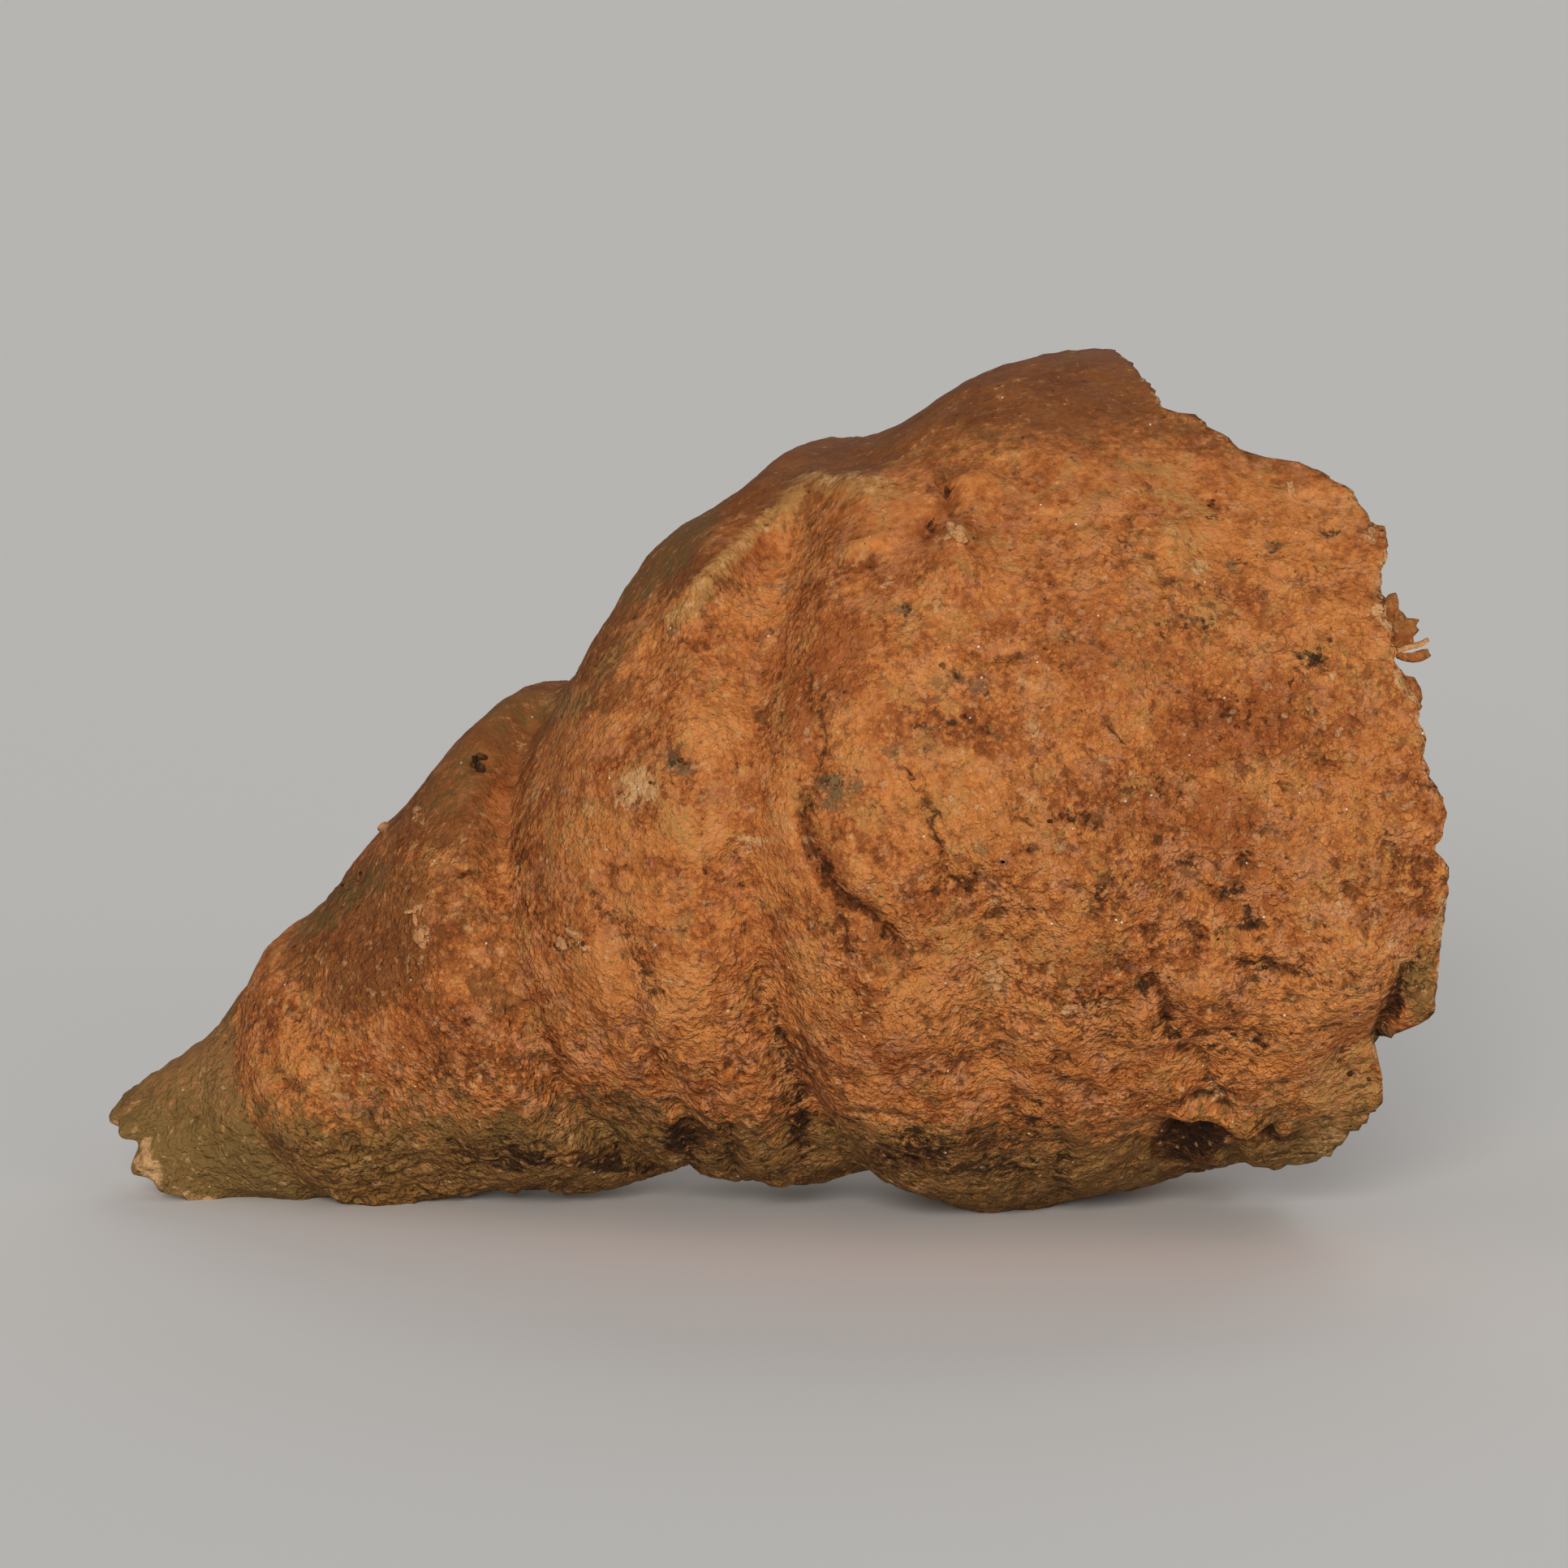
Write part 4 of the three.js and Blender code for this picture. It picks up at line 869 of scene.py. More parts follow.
def wall_relief(place, straight, s, turns, near, coarse, ribbed, patchy):
    """Height of the wall's own texture: low lumps, grain, wrinkles round the
    horn as a sine of the station, ribs along it as a cosine of the turn,
    streaks, and strewn pits and crumbs."""
    lumps = LUMP_HEIGHT * named_noise(place, "lumps")
    grain = (GRAIN_HEIGHT + COARSE_GRAIN * coarse) * named_noise(place, "grain")
    wrinkle = np.sin(2 * np.pi * (s * WRINKLES_PER_STATION + 0.6 * patchy)
                     + 1.5 * named_noise(place, "wrinkle_bend"))
    wrinkle = (WRINKLE_HEIGHT + FAR_WRINKLE * (1 - near)) * wrinkle
    rib = np.abs(np.cos(SEPTA * turns + 0.5 * named_noise(straight, "rib_bend")))
    rib = (rib ** 0.7 - 0.6) * (RIB_HEIGHT + RIBBED_RIB * ribbed)
    rib = rib * smoothstep(0.5, 4.0, s)
    worn_down = named_noise(straight / RIB_WEAR_STRETCH, "rib_wear")
    rib = rib * (0.55 + 0.45 * worn_down)
    streaks = named_noise(straight / STREAK_STRETCH, "streaks")
    streaks = streaks * STREAK_HEIGHT * ribbed
    gap, own = cells(straight / PIT_STRETCH, *STREWN_PITS)
    pits = smoothstep(0.62, 0.2, gap) * smoothstep(0.35, 0.6, own)
    pits = -(PIT_DEPTH + COARSE_PIT * coarse) * pits
    crumbs = smoothstep(0.60, 0.1, cells(place, *STREWN_CRUMBS)[0])
    crumbs = CRUMB_HEIGHT * coarse * crumbs * smoothstep(-0.35, 0.3, patchy)
    return lumps + (grain + wrinkle + rib + streaks + pits + crumbs)


def wall_surface(turn, rim):
    """The outside. Rows run from apex edge to rim at equal shares of the
    station range; each point is the skin's, moved along outward by the wall's
    texture and by the marks. Returns places, surface masks, places on the horn
    laid straight, and places on the skin before it is moved."""
    share = np.linspace(0, 1, WALL_ROWS)[:, None]
    s = share * rim[None, :]
    turns = np.broadcast_to(turn, s.shape)
    plain, outward = skin(s, turns)
    around = np.roll(plain, -2, axis=1) - np.roll(plain, 2, axis=1)
    facing = np.cross(np.gradient(plain, axis=0), around)
    facing = facing / np.linalg.norm(facing, axis=-1, keepdims=True)
    upward = facing[..., 2] * np.sign(np.sum(facing * outward, axis=-1))
    steps = np.linalg.norm(np.diff(plain, axis=0), axis=-1)
    length = np.concatenate([np.zeros((1, COLUMNS)), np.cumsum(steps, axis=0)])
    spread = np.sqrt(MIDDLE_RADIUS * ring_at(s)[3])
    straight = np.stack([length, spread * np.cos(turns), spread * np.sin(turns)], -1)

    across, down = picture_place(plain + CENTRING)
    near = smoothstep(-0.02, 0.12, np.sin(turns))
    patchy = named_noise(plain, "patches")
    coarse, ribbed, at_tip, worn = wall_zones(
        plain, across, down, near, s, upward, patchy)
    wander = [MARK_WANDER * named_noise(plain, name)
              for name in ("mark_across", "mark_down")]
    height, dirt, crack_gap, crack_width = marks_height(across, down, wander)
    height = near * height + wall_relief(
        plain, straight, s, turns, near, coarse, ribbed, patchy)

    keep = 0.45 + 0.55 * smoothstep(0.0, 0.35, np.abs(np.sin(turns)))
    place = plain + outward * (height * keep)[..., None]
    forward = ring_at(np.zeros(1))[2]
    near_tip = np.clip(1 - share * 12, 0, 1)
    place = place + forward * (tip_break(turns) * near_tip)[..., None]

    # painted shade, with some dirt: the hollows of the relief, narrow and broad, are painted umber in
    # the stone
    hollow_dirt_and_shade = smoothstep(0.02, 0.16, blurred(height, 2) - height)
    deep = smoothstep(0.10, 0.5, blurred(height, 9) - height)
    # painted highlight: a pale cream line along the rim's edge, broken by noise
    edge = smoothstep(0.9955, 1, share)
    edge = edge * smoothstep(-0.3, 0.4, named_noise(place, "rim_highlight_breaks"))
    masks = stains(place, across, down, near, turns, s, patchy, worn)
    masks["cream"] = np.maximum(masks["cream"], 0.8 * edge)
    masks["dirt"] = np.maximum(masks["dirt"], dirt * near)
    masks.update({
        "hollow_dirt_and_shade": np.maximum(hollow_dirt_and_shade, 0.35 * deep),
        # painted highlight: where the relief stands above its neighbours
        "raised_highlight": smoothstep(0.02, 0.16, height - blurred(height, 2)),
        "coarse": coarse, "ribbed": ribbed * (1 - at_tip), "ash": at_tip,
        "worn": worn, "crack_gap": 0.5 + np.clip(crack_gap / CRACK_SPAN, -0.5, 0.5),
        "crack_width": crack_width * near / CRACK_SPAN})
    return place, masks, straight, plain


def stains(place, across, down, near, turns, s, patchy, worn):
    """Strength of each colour patch: its ovals on the near side, and broad
    noise on the far side, which has the same stains in other places. The
    underside's olive is partly painted shade, and the crest's brown is
    painted shade."""
    wander_x = across + STAIN_WANDER * named_noise(place, "stain_across")
    wander_y = down + STAIN_WANDER * named_noise(place, "stain_down")
    result = {}
    for count, (kind, ovals) in enumerate(PATCHES.items()):
        strength = np.zeros(across.shape)
        for cx, cy, a, b, tilt, amount in ovals:
            gap = spot_distance(wander_x, wander_y, cx, cy, a, b, tilt)
            strength = np.maximum(strength, amount * smoothstep(1.25, 0.55, gap))
        elsewhere = smoothstep(0.15, 0.6, named_noise(place, "far_stains", 20 * count))
        elsewhere = elsewhere * FAR_STAINS.get(kind, 0.6) * (1 - 0.7 * worn)
        result[kind] = near * strength + (1 - near) * elsewhere
    # the underside is olive, partly the stone's own colour and partly painted shade
    underside_olive_and_shade = smoothstep(9.5, 2.5, place[..., 2] + 1.5 * patchy)
    result["olive"] = np.maximum(result["olive"], 0.9 * underside_olive_and_shade)
    # painted shade: the crest is painted brown to darken the top edge
    crest = smoothstep(0.62, 0.97, np.cos(turns)) * smoothstep(5.0, 10.0, s)
    result["brown"] = np.maximum(result["brown"], crest * (0.85 + 0.4 * patchy))
    return result


def tip_surface(turn):
    """The broken apex: rows from its middle to its edge, on straight lines,
    uneven along the horn by noise that fades at the edge."""
    inward = (np.arange(1, TIP_ROWS + 1) / (TIP_ROWS + 1))[:, None]
    middle, _, forward, _, _ = ring_at(np.zeros(1))
    edge, _ = skin(np.zeros_like(turn), turn)
    place = middle + (edge[None] - middle) * inward[..., None]
    rough = 0.55 * named_noise(place, "apex") + 0.35 * np.sin(5 * turn + 4 * inward)
    push = rough * inward + 0.7 * (1 - inward) + tip_break(turn) * inward ** 2
    return place + forward * push[..., None]


def cup_surface(turn, rim):
    """The cup: rows from the rim inward. A bowl whose radius falls as a power
    of the cosine and whose depth grows as the sine of the way in; on it a
    tall ridge for each septum, a short one between each two, ragged edges,
    and a rough fill that rises in the middle."""
    inward = (np.arange(CUP_ROWS) / CUP_ROWS)[:, None] ** 1.15
    drop = np.sin(inward * np.pi / 2)
    s = (rim - 0.1) * (1 - drop) + CUP_FLOOR_STATION * drop
    turns = np.broadcast_to(turn, s.shape)
    middle, _, forward, radius, _ = ring_at(s)
    spread = np.cos(inward * np.pi / 2) ** 0.75
    share = (1 - RIM_WALL / radius) * spread
    place = middle + (skin(s, turns)[0] - middle) * share[..., None]

    spacing = turns * SEPTA / (2 * np.pi) + 0.10 * named_noise(place, "septum_bend")
    spacing = spacing % 1.0
    major = smoothstep(0.27, 0.08, np.abs(spacing - 0.5))
    minor = smoothstep(0.16, 0.04, np.minimum(spacing, 1 - spacing))
    minor = 0.45 * minor * smoothstep(0.55, 0.25, inward)
    ragged = 0.8 + 0.45 * named_noise(place, "septum_edge")
    fade = smoothstep(-0.05, 0.1, inward) * smoothstep(1.0, 0.72, inward)
    septum = (SEPTUM_HEIGHT * major + minor) * ragged * fade
    blister = 0.22 * smoothstep(0.55, 0.2, cells(place, *STREWN_BLISTERS)[0])
    fill = smoothstep(0.45, 0.85, inward + 0.18 * named_noise(place, "fill_edge"))
    rough = (0.10 + 0.35 * fill) * named_noise(place, "fill") + blister
    lift = septum * (1 - 0.55 * fill) + rough * smoothstep(0, 0.06, inward)
    toward = middle - place
    toward = toward / np.linalg.norm(toward, axis=-1, keepdims=True)
    place = place + toward * (lift * spread)[..., None]
    rise = lift * (1 - spread) + CUP_BOSS * hump(share / 0.22)
    place = place + forward * rise[..., None]
    # painted shade, with some dirt: the hollows between the septa, painted umber in the stone
    hollow_dirt_and_shade = smoothstep(0.1, 0.8, blurred(lift, 6) - lift + 0.25) * (1 - 0.4 * fill)
    return place, hollow_dirt_and_shade, fill, inward + 0 * turns


def coral_mesh():
    """One closed skin: the middle of the broken apex, its face, the outside,
    the lip, the cup and the middle of the cup's floor, row by row."""
    turn = column_turns()
    rim = rim_station(turn)
    circle = RIM_CIRCLE * np.stack([np.cos(turn), np.sin(turn), 0 * turn], -1)
    rim = rim + 0.16 * named_noise(circle, "rim") - 0.06
    tip = tip_surface(turn)
    wall, masks, straight, plain = wall_surface(turn, rim)
    cup, cup_hollow_dirt_and_shade, cup_fill, cup_inward = cup_surface(turn, rim)
    rows = np.concatenate([tip, wall, cup])
    poles = np.stack([tip[0].mean(0), cup[-1].mean(0)])
    places = np.concatenate([rows.reshape(-1, 3), poles]) + CENTRING
    places[:, 2] = np.maximum(places[:, 2], 0)
    places = in_cad_box(places)

    def whole(tip_value, wall_values, cup_values):
        """One mask over the tip's, the wall's and the cup's rows."""
        parts = [np.broadcast_to(tip_value, tip.shape[:2]), wall_values,
                 np.broadcast_to(cup_values, cup.shape[:2])]
        values = np.concatenate(parts).reshape(-1)
        return np.concatenate([values, values[:1], values[-1:]])

    # painted highlight: cream along the lip at the cup's rim
    lip = smoothstep(0.07, 0.0, cup_inward)
    # the cup's umber follows its hollows: painted shade with some dirt
    in_cup = {"hollow_dirt_and_shade": cup_hollow_dirt_and_shade, "coarse": 0.8, "raised_highlight": 0.3 * (1 - cup_hollow_dirt_and_shade),
              "cream": 0.5 * lip, "rust": 0.3, "straw": 0.35 * cup_fill,
              "umber": 0.65 * cup_hollow_dirt_and_shade * smoothstep(0.0, 0.15, cup_inward),
              "olive": 0.3 * cup_fill, "ochre": 0.25, "brown": 0.4,
              "crack_gap": 1.0, "dirt": 0.5 * cup_hollow_dirt_and_shade}
    on_tip = {"cream": 0.75, "ash": 0.6, "hollow_dirt_and_shade": 0.15, "coarse": 0.7}
    attributes = {name: whole(on_tip.get(name, 0.0), values, in_cup.get(name, 0.0))
                  for name, values in masks.items()}
    for label, wall_places in (("unbent", straight), ("skin", plain + CENTRING)):
        values = np.concatenate([tip, wall_places, cup]).reshape(-1, 3)
        attributes[label] = np.concatenate([values, values[:1], values[-1:]]) * MM
    wall_turn = np.broadcast_to(turn, wall.shape[:2])
    return places, len(rows), attributes, wall + CENTRING, wall_turn


def tube_faces(rows, sides, start=0, turned=False):
    """Squares between neighbouring rows and columns of a grid, and a fan of
    triangles at each end, round two points that come after the grid. Turned
    makes them face the other way."""
    index = start + np.arange(rows * sides).reshape(rows, sides)
    following = np.roll(index, -1, axis=1)
    pole = np.full(sides, start + rows * sides)
    squares = [index[:-1], following[:-1], following[1:], index[1:]]
    fans = [[pole, following[0], index[0]], [pole + 1, index[-1], following[-1]]]
    faces = []
    for corners in [squares, *fans]:
        if turned:
            corners = corners[:1] + corners[:0:-1]
        faces += np.stack(corners, -1).reshape(-1, len(corners)).tolist()
    return faces


def new_piece(name, places_mm, faces, material, attributes=None):
    """A smooth mesh piece in metres, riding on the coral's only body."""
    data = bpy.data.meshes.new(name)
    data.from_pydata((places_mm * MM).tolist(), [], faces)
    data.polygons.foreach_set("use_smooth", np.ones(len(data.polygons), bool))
    if not attributes:
        attributes = {"unbent": places_mm * MM, "skin": places_mm * MM}
    for label, values in attributes.items():
        if values.ndim == 2:
            layer = data.attributes.new(label, "FLOAT_VECTOR", "POINT")
            layer.data.foreach_set("vector", values.astype(np.float32).ravel())
        else:
            layer = data.attributes.new(label, "FLOAT", "POINT")
            layer.data.foreach_set("value", np.clip(values, 0, 1).astype(np.float32))
    data.materials.append(material)
    piece = bpy.data.objects.new(name, data)
    bpy.context.scene.collection.objects.link(piece)
    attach(piece, "root")
    return piece


# ---- Small pieces stuck to the wall ----------------------------------------------

# outlines of the chips that stand out of the rim's broken edge, in pixels across
# and down, each with its depth in millimetres behind the near skin
CHIPS = [
    (1.1, [(1700, 748), (1711, 733), (1721, 731), (1724, 742), (1720, 748), (1729, 754), (1733, 761),
        (1748, 762), (1744, 771), (1748, 777), (1741, 785), (1743, 791), (1736, 797), (1722, 800),
        (1712, 790), (1704, 770)]),
    (0.7, [(1716, 804), (1740, 804), (1759, 799), (1761, 804), (1764, 809), (1756, 813), (1747, 816),
        (1736, 816), (1722, 812)]),
    (1.2, [(1692, 646), (1705, 647), (1709, 657), (1708, 670), (1702, 682), (1692, 680)]),
    (1.1, [(1728, 832), (1742, 835), (1750, 848), (1753, 861), (1749, 872), (1740, 870), (1732, 850)]),
]
SLIVER = [(0.4, [(1716, 802), (1733, 794), (1749, 790), (1759, 786), (1761, 791),
                 (1751, 796), (1738, 800), (1722, 806)])]
CHIP_THICKNESS = 0.26             # millimetres, half
SLIVER_THICKNESS = 0.12
CHIP_SIDES, CHIP_RINGS = 56, 9
CHIP_RAGGED = 0.07                # millimetres that noise shifts its points by

# pixel across, pixel down, half sizes along and across in pixels, tilt, and
# how far it stands proud in millimetres
CRUMBS = [
    (520, 1155, 9, 13, -8, 0.34), (512, 1134, 3, 9, -16, 0.16), (507, 1123, 9, 3, -12, 0.16),
    (527, 1150, 4, 7, 0, 0.2), (474, 1019, 9, 6, -20, 0.4), (514, 998, 6, 5, -30, 0.3),
    (1182, 661, 12, 7, 25, 0.34), (1172, 650, 7, 8, 0, 0.3), (1095, 719, 7, 4, -20, 0.16),
    (1319, 1241, 9, 4, 0, 0.2), (708, 1150, 12, 6, 25, 0.3), (694, 1162, 8, 9, 0, 0.28),
    (722, 1168, 8, 6, 0, 0.24), (1270, 896, 8, 7, 0, 0.16), (1590, 604, 5, 12, -8, 0.18),
    (1648, 903, 4, 6, 0, 0.2), (1232, 1206, 5, 7, 8, 0.18),
]
BALL_RINGS, BALL_SIDES = 12, 18
LUMP_ROUGHNESS = 0.5              # share of its radius that noise changes
HOLE_GRIT_AND_SHADE_SHARE = 0.8                  # of the sizes listed that the dark lumps in holes are built at
# how far grains, the dark lumps of grit and hole shade, and the black hooked one stand proud, in
# millimetres
GRAIN_PROUD, HOOK_PROUD = 0.10, 0.25


def seat(across, down, wall, wall_turn):
    """The wall's point that the camera sees at a pixel: of the near side's
    points in the picture within reach of it, the one nearest the camera."""
    x, y = picture_place(wall)
    gap = np.hypot(x - across, y - down)
    ahead = wall @ SIGHT
    score = gap + np.where(np.sin(wall_turn) > 0, 0, 1e6) + 0.5 * ahead
    return wall[np.unravel_index(np.argmin(score), score.shape)]


def wall_place(across, down, wall, wall_turn):
    """The place in millimetres at a pixel and as deep as the wall is there."""
    depth = (seat(across, down, wall, wall_turn) - LOOK_AT) @ SIGHT
    return picture_point(np.array(across), np.array(down), depth)


def on_wall(marks, wall, wall_turn):
    """Each mark's place on the wall, at its pixel, followed by its sizes; all
    in metres."""
    return [(wall_place(across, down, wall, wall_turn) * MM,
             *(size * MM_PER_PIXEL * MM for size in sizes))
            for across, down, *sizes in marks]


def lump(middle, half_across, half_up, half_depth, tilt, other):
    """A ragged pebble: a ball stretched along three directions, which are
    across the picture and up it, turned by the tilt, and the sight line;
    its radius is changed by noise of the direction."""
    down_turn = np.pi * (np.arange(BALL_RINGS)[:, None] + 0.5) / BALL_RINGS
    turn = 2 * np.pi * np.arange(BALL_SIDES)[None, :] / BALL_SIDES
    ways = np.stack([np.sin(down_turn) * np.cos(turn),
                     np.sin(down_turn) * np.sin(turn),
                     np.cos(down_turn) + 0 * turn], -1)
    tilt = math.radians(-tilt)
    right = np.array([1.0, 0, 0])
    first = right * math.cos(tilt) + PICTURE_UP * math.sin(tilt)
    second = PICTURE_UP * math.cos(tilt) - right * math.sin(tilt)
    axes = np.stack([first * half_across, second * half_up, -SIGHT * half_depth])
    lumpy = 1 + LUMP_ROUGHNESS * named_noise(ways, "pebbles", other)
    return middle + (ways * lumpy[..., None]) @ axes


def closed_grids(grids):
    """Places and faces of several closed forms, each a grid of rings with a
    fan to the middle of its first and of its last ring."""
    places, faces, start = [], [], 0
    for grid in grids:
        faces += tube_faces(*grid.shape[:2], start, turned=True)
        places += [grid.reshape(-1, 3), grid[:1].mean((0, 1))[None],
                   grid[-1:].mean((0, 1))[None]]
        start += grid.shape[0] * grid.shape[1] + 2
    return np.concatenate(places), faces


def chip_grids(chips, thickness, wall, wall_turn):
    """Thin ragged plates just behind the near rim, standing out past it. Each
    is rings of its outline, walked at even steps, shrunk toward the middle by
    the sine of an angle that runs from the front to the back, and set off
    along the sight line by the cosine's square root."""
    grids = []
    for k, (behind, outline) in enumerate(chips):
        x, y = np.transpose(outline + outline[:1]).astype(float)
        walked = np.concatenate([[0], np.cumsum(np.hypot(np.diff(x), np.diff(y)))])
        steps = walked[-1] * np.arange(CHIP_SIDES) / CHIP_SIDES
        x, y = np.interp(steps, walked, x), np.interp(steps, walked, y)
        if np.sum(x * np.roll(y, -1) - y * np.roll(x, -1)) > 0:
            x, y = x[::-1], y[::-1]
        rim_point = seat(x.mean(), y.mean(), wall[-1:], wall_turn[-1:])
        depth = (rim_point - LOOK_AT) @ SIGHT + behind
        angle = np.pi * (np.arange(CHIP_RINGS)[:, None] + 0.5) / CHIP_RINGS
        shrunk = np.sin(angle) ** 0.5
        off = -np.sign(np.cos(angle)) * np.abs(np.cos(angle)) ** 0.5 * thickness
        place = picture_point(x.mean() + (x - x.mean()) * shrunk,
                              y.mean() + (y - y.mean()) * shrunk, depth + off)
        grids.append(place + CHIP_RAGGED * np.stack(
            [named_noise(place, "chips", 30 * k + 10 * axis) for axis in range(3)], -1))
    return grids


def crumb_grids(crumbs, wall, wall_turn):
    """Small lumps half sunk in the near side."""
    grids = []
    for k, (across, down, half_along, half_up, tilt, proud) in enumerate(crumbs):
        middle = wall_place(across, down, wall, wall_turn)
        grids.append(in_cad_box(lump(middle, half_along * MM_PER_PIXEL,
                                     half_up * MM_PER_PIXEL, proud, tilt, 10 * k)))
    return grids


# ---- Stone finish ----------------------------------------------------------------

# the share of red, green and blue light that each colour of the stone gives back
STONE = {
    "rust": (0.330, 0.086, 0.020),
    "ochre": (0.640, 0.235, 0.058),
    "straw": (0.430, 0.215, 0.062),
    "cream": (0.620, 0.360, 0.165),
    "olive": (0.152, 0.104, 0.029),
    "brown": (0.170, 0.056, 0.014),
    "umber": (0.070, 0.020, 0.005),
    "slate": (0.190, 0.115, 0.052),
    "pink": (0.560, 0.225, 0.095),
    "ash": (0.275, 0.140, 0.047),
    # near black, for dark specks and for painted shade in holes, under the ledge and along the bottom
    "soot_and_shade": (0.026, 0.011, 0.004),
    # painted highlight: the colour of the glints
    "glint": (0.900, 0.820, 0.700),
}
# share of the way from dark to pale cloud: colour
CLOUDS = [
    (0.28, (0.120, 0.032, 0.008)),
    (0.41, (0.312, 0.088, 0.021)),
    (0.50, (0.450, 0.142, 0.035)),
    (0.59, (0.560, 0.198, 0.052)),
    (0.72, (0.640, 0.285, 0.100)),
]

# ragged coats over the cloud: scale, low and high cut of their noise, strength,
# and what the coarse zone adds to it
COATS = {
    "straw": (700.0, 0.53, 0.61, 0.52, 0.0),
    "rust": (640.0, 0.46, 0.38, 0.60, 0.0),
    "pink": (900.0, 0.52, 0.59, 0.34, 0.32),
}
# the colour patches in the order they are laid, painted shade among them:
# strength, and how far the grain shifts their edge, below zero where they
# gather in its gaps
STAINS = {
    "rust": (0.62, 2.0), "ochre": (0.35, 2.0), "brown": (0.72, -1.6),
    "ash": (0.82, -1.2), "straw": (0.80, 3.0), "olive": (0.66, -2.0),
    "slate": (0.80, -3.0), "umber": (0.74, -2.6), "soot_and_shade": (0.84, -2.6),
    "cream": (0.80, 3.4),
}
STREWN_STAINS = ("straw", "slate", "cream")
# how much each noise and mask moves the choice of cloud
CLOUD_MOVES = {"broad": 0.70, "grainy": 0.46, "streak": 0.18, "ochre": 0.085, "rust": -0.060}
CLOUD_SHIFT = -0.085
# how strongly the other marks are painted, where nothing changes it
PAINTED = {"hollow_dirt_and_shade": 0.55, "raised_highlight": 0.34, "specks": 0.68, "veins": 0.45, "flecks": 0.46,
           "crack_soot": 0.30, "crack_umber": 0.60, "rings": 0.44, "glints": 0.80}
# scales, per metre, of the stone's noises and crumbs
BROAD, CLUSTER, GRAINY, STREAKY = 310.0, 230.0, 2300.0, 1800.0
GRAIN, LUMPS, SMALL_LUMPS = 1300.0, 1900.0, 3300.0
SPECKS, DASHES, VEINS, FLECKS, GLINTS = 2700.0, 2300.0, 520.0, 1900.0, 8000.0
EDGE_CUT = 0.07                   # from no speck or vein to a full one
BUMP_DISTANCE = 0.00025           # metres
STREAK_SQUEEZE = (0.33, 1, 1)     # draws noise out along the horn


def add_node(tree, kind, inputs=None, **settings):
    """A node with its settings; each input is a plain value or a socket."""
    node = tree.nodes.new(kind)
    for name, value in settings.items():
        setattr(node, name, value)
    for name, value in (inputs or {}).items():
        join(tree, value, node.inputs[name])
    return node


def join(tree, value, socket):
    """Link a socket to an input, or set the input to a plain value."""
    if isinstance(value, bpy.types.NodeSocket):
        tree.links.new(value, socket)
    else:
        socket.default_value = value


def calculate(tree, operation, a, b, c=0.0, limited=False):
    """One step of arithmetic on numbers or sockets."""
    node = add_node(tree, "ShaderNodeMath", {0: a, 1: b, 2: c},
                    operation=operation, use_clamp=limited)
    return node.outputs[0]


def times(tree, a, b, limited=False):
    """The product of two numbers or sockets."""
    return calculate(tree, "MULTIPLY", a, b, 0.0, limited)


def scaled(tree, value, gain, offset=0.0, limited=False):
    """A number or socket times a gain, plus an offset."""
    return calculate(tree, "MULTIPLY_ADD", value, gain, offset, limited)


def between(tree, value, low, high, least=0.0, most=1.0):
    """Value carried smoothly from low..high to least..most, and held there."""
    node = add_node(tree, "ShaderNodeMapRange",
                    {"Value": value, "From Min": low, "From Max": high,
                     "To Min": least, "To Max": most},
                    interpolation_type="SMOOTHSTEP")
    return node.outputs["Result"]


def blend(tree, factor, below, above):
    """Two colours laid one over the other by a factor."""
    node = tree.nodes.new("ShaderNodeMix")
    node.data_type = "RGBA"
    for index, value in ((0, factor), (6, below), (7, above)):
        join(tree, value, node.inputs[index])
    return node.outputs[2]


def new_group(name, output, **numbers):
    """An empty shader group: a place and named numbers in, one number out."""
    group = bpy.data.node_groups.new(name, "ShaderNodeTree")
    group.interface.new_socket("Place", in_out="INPUT", socket_type="NodeSocketVector")
    for label, value in numbers.items():
        socket = group.interface.new_socket(
            label, in_out="INPUT", socket_type="NodeSocketFloat")
        socket.default_value = value
    group.interface.new_socket(output, in_out="OUTPUT", socket_type="NodeSocketFloat")
    entry = group.nodes.new("NodeGroupInput")
    leave = group.nodes.new("NodeGroupOutput")
    return group, entry.outputs, leave.inputs[output]


def layered_noise(tree, place, scale, detail=2.0, rough=0.6, bent=0.0):
    """Blender's own layered noise at a place, 0 to 1."""
    return add_node(tree, "ShaderNodeTexNoise",
                    {"Vector": place, "Scale": scale, "Detail": detail,
                     "Roughness": rough, "Distortion": bent}).outputs["Fac"]


def make_mottle():
    """Ragged patches: layered noise of the place, cut between low and high."""
    group, given, out = new_group("stone_mottle", "Mask", Scale=400.0, Low=0.4,
                                  High=0.6, Detail=2.0)
    cloud = layered_noise(group, given["Place"], given["Scale"], given["Detail"])
    group.links.new(between(group, cloud, given["Low"], given["High"]), out)
    return group


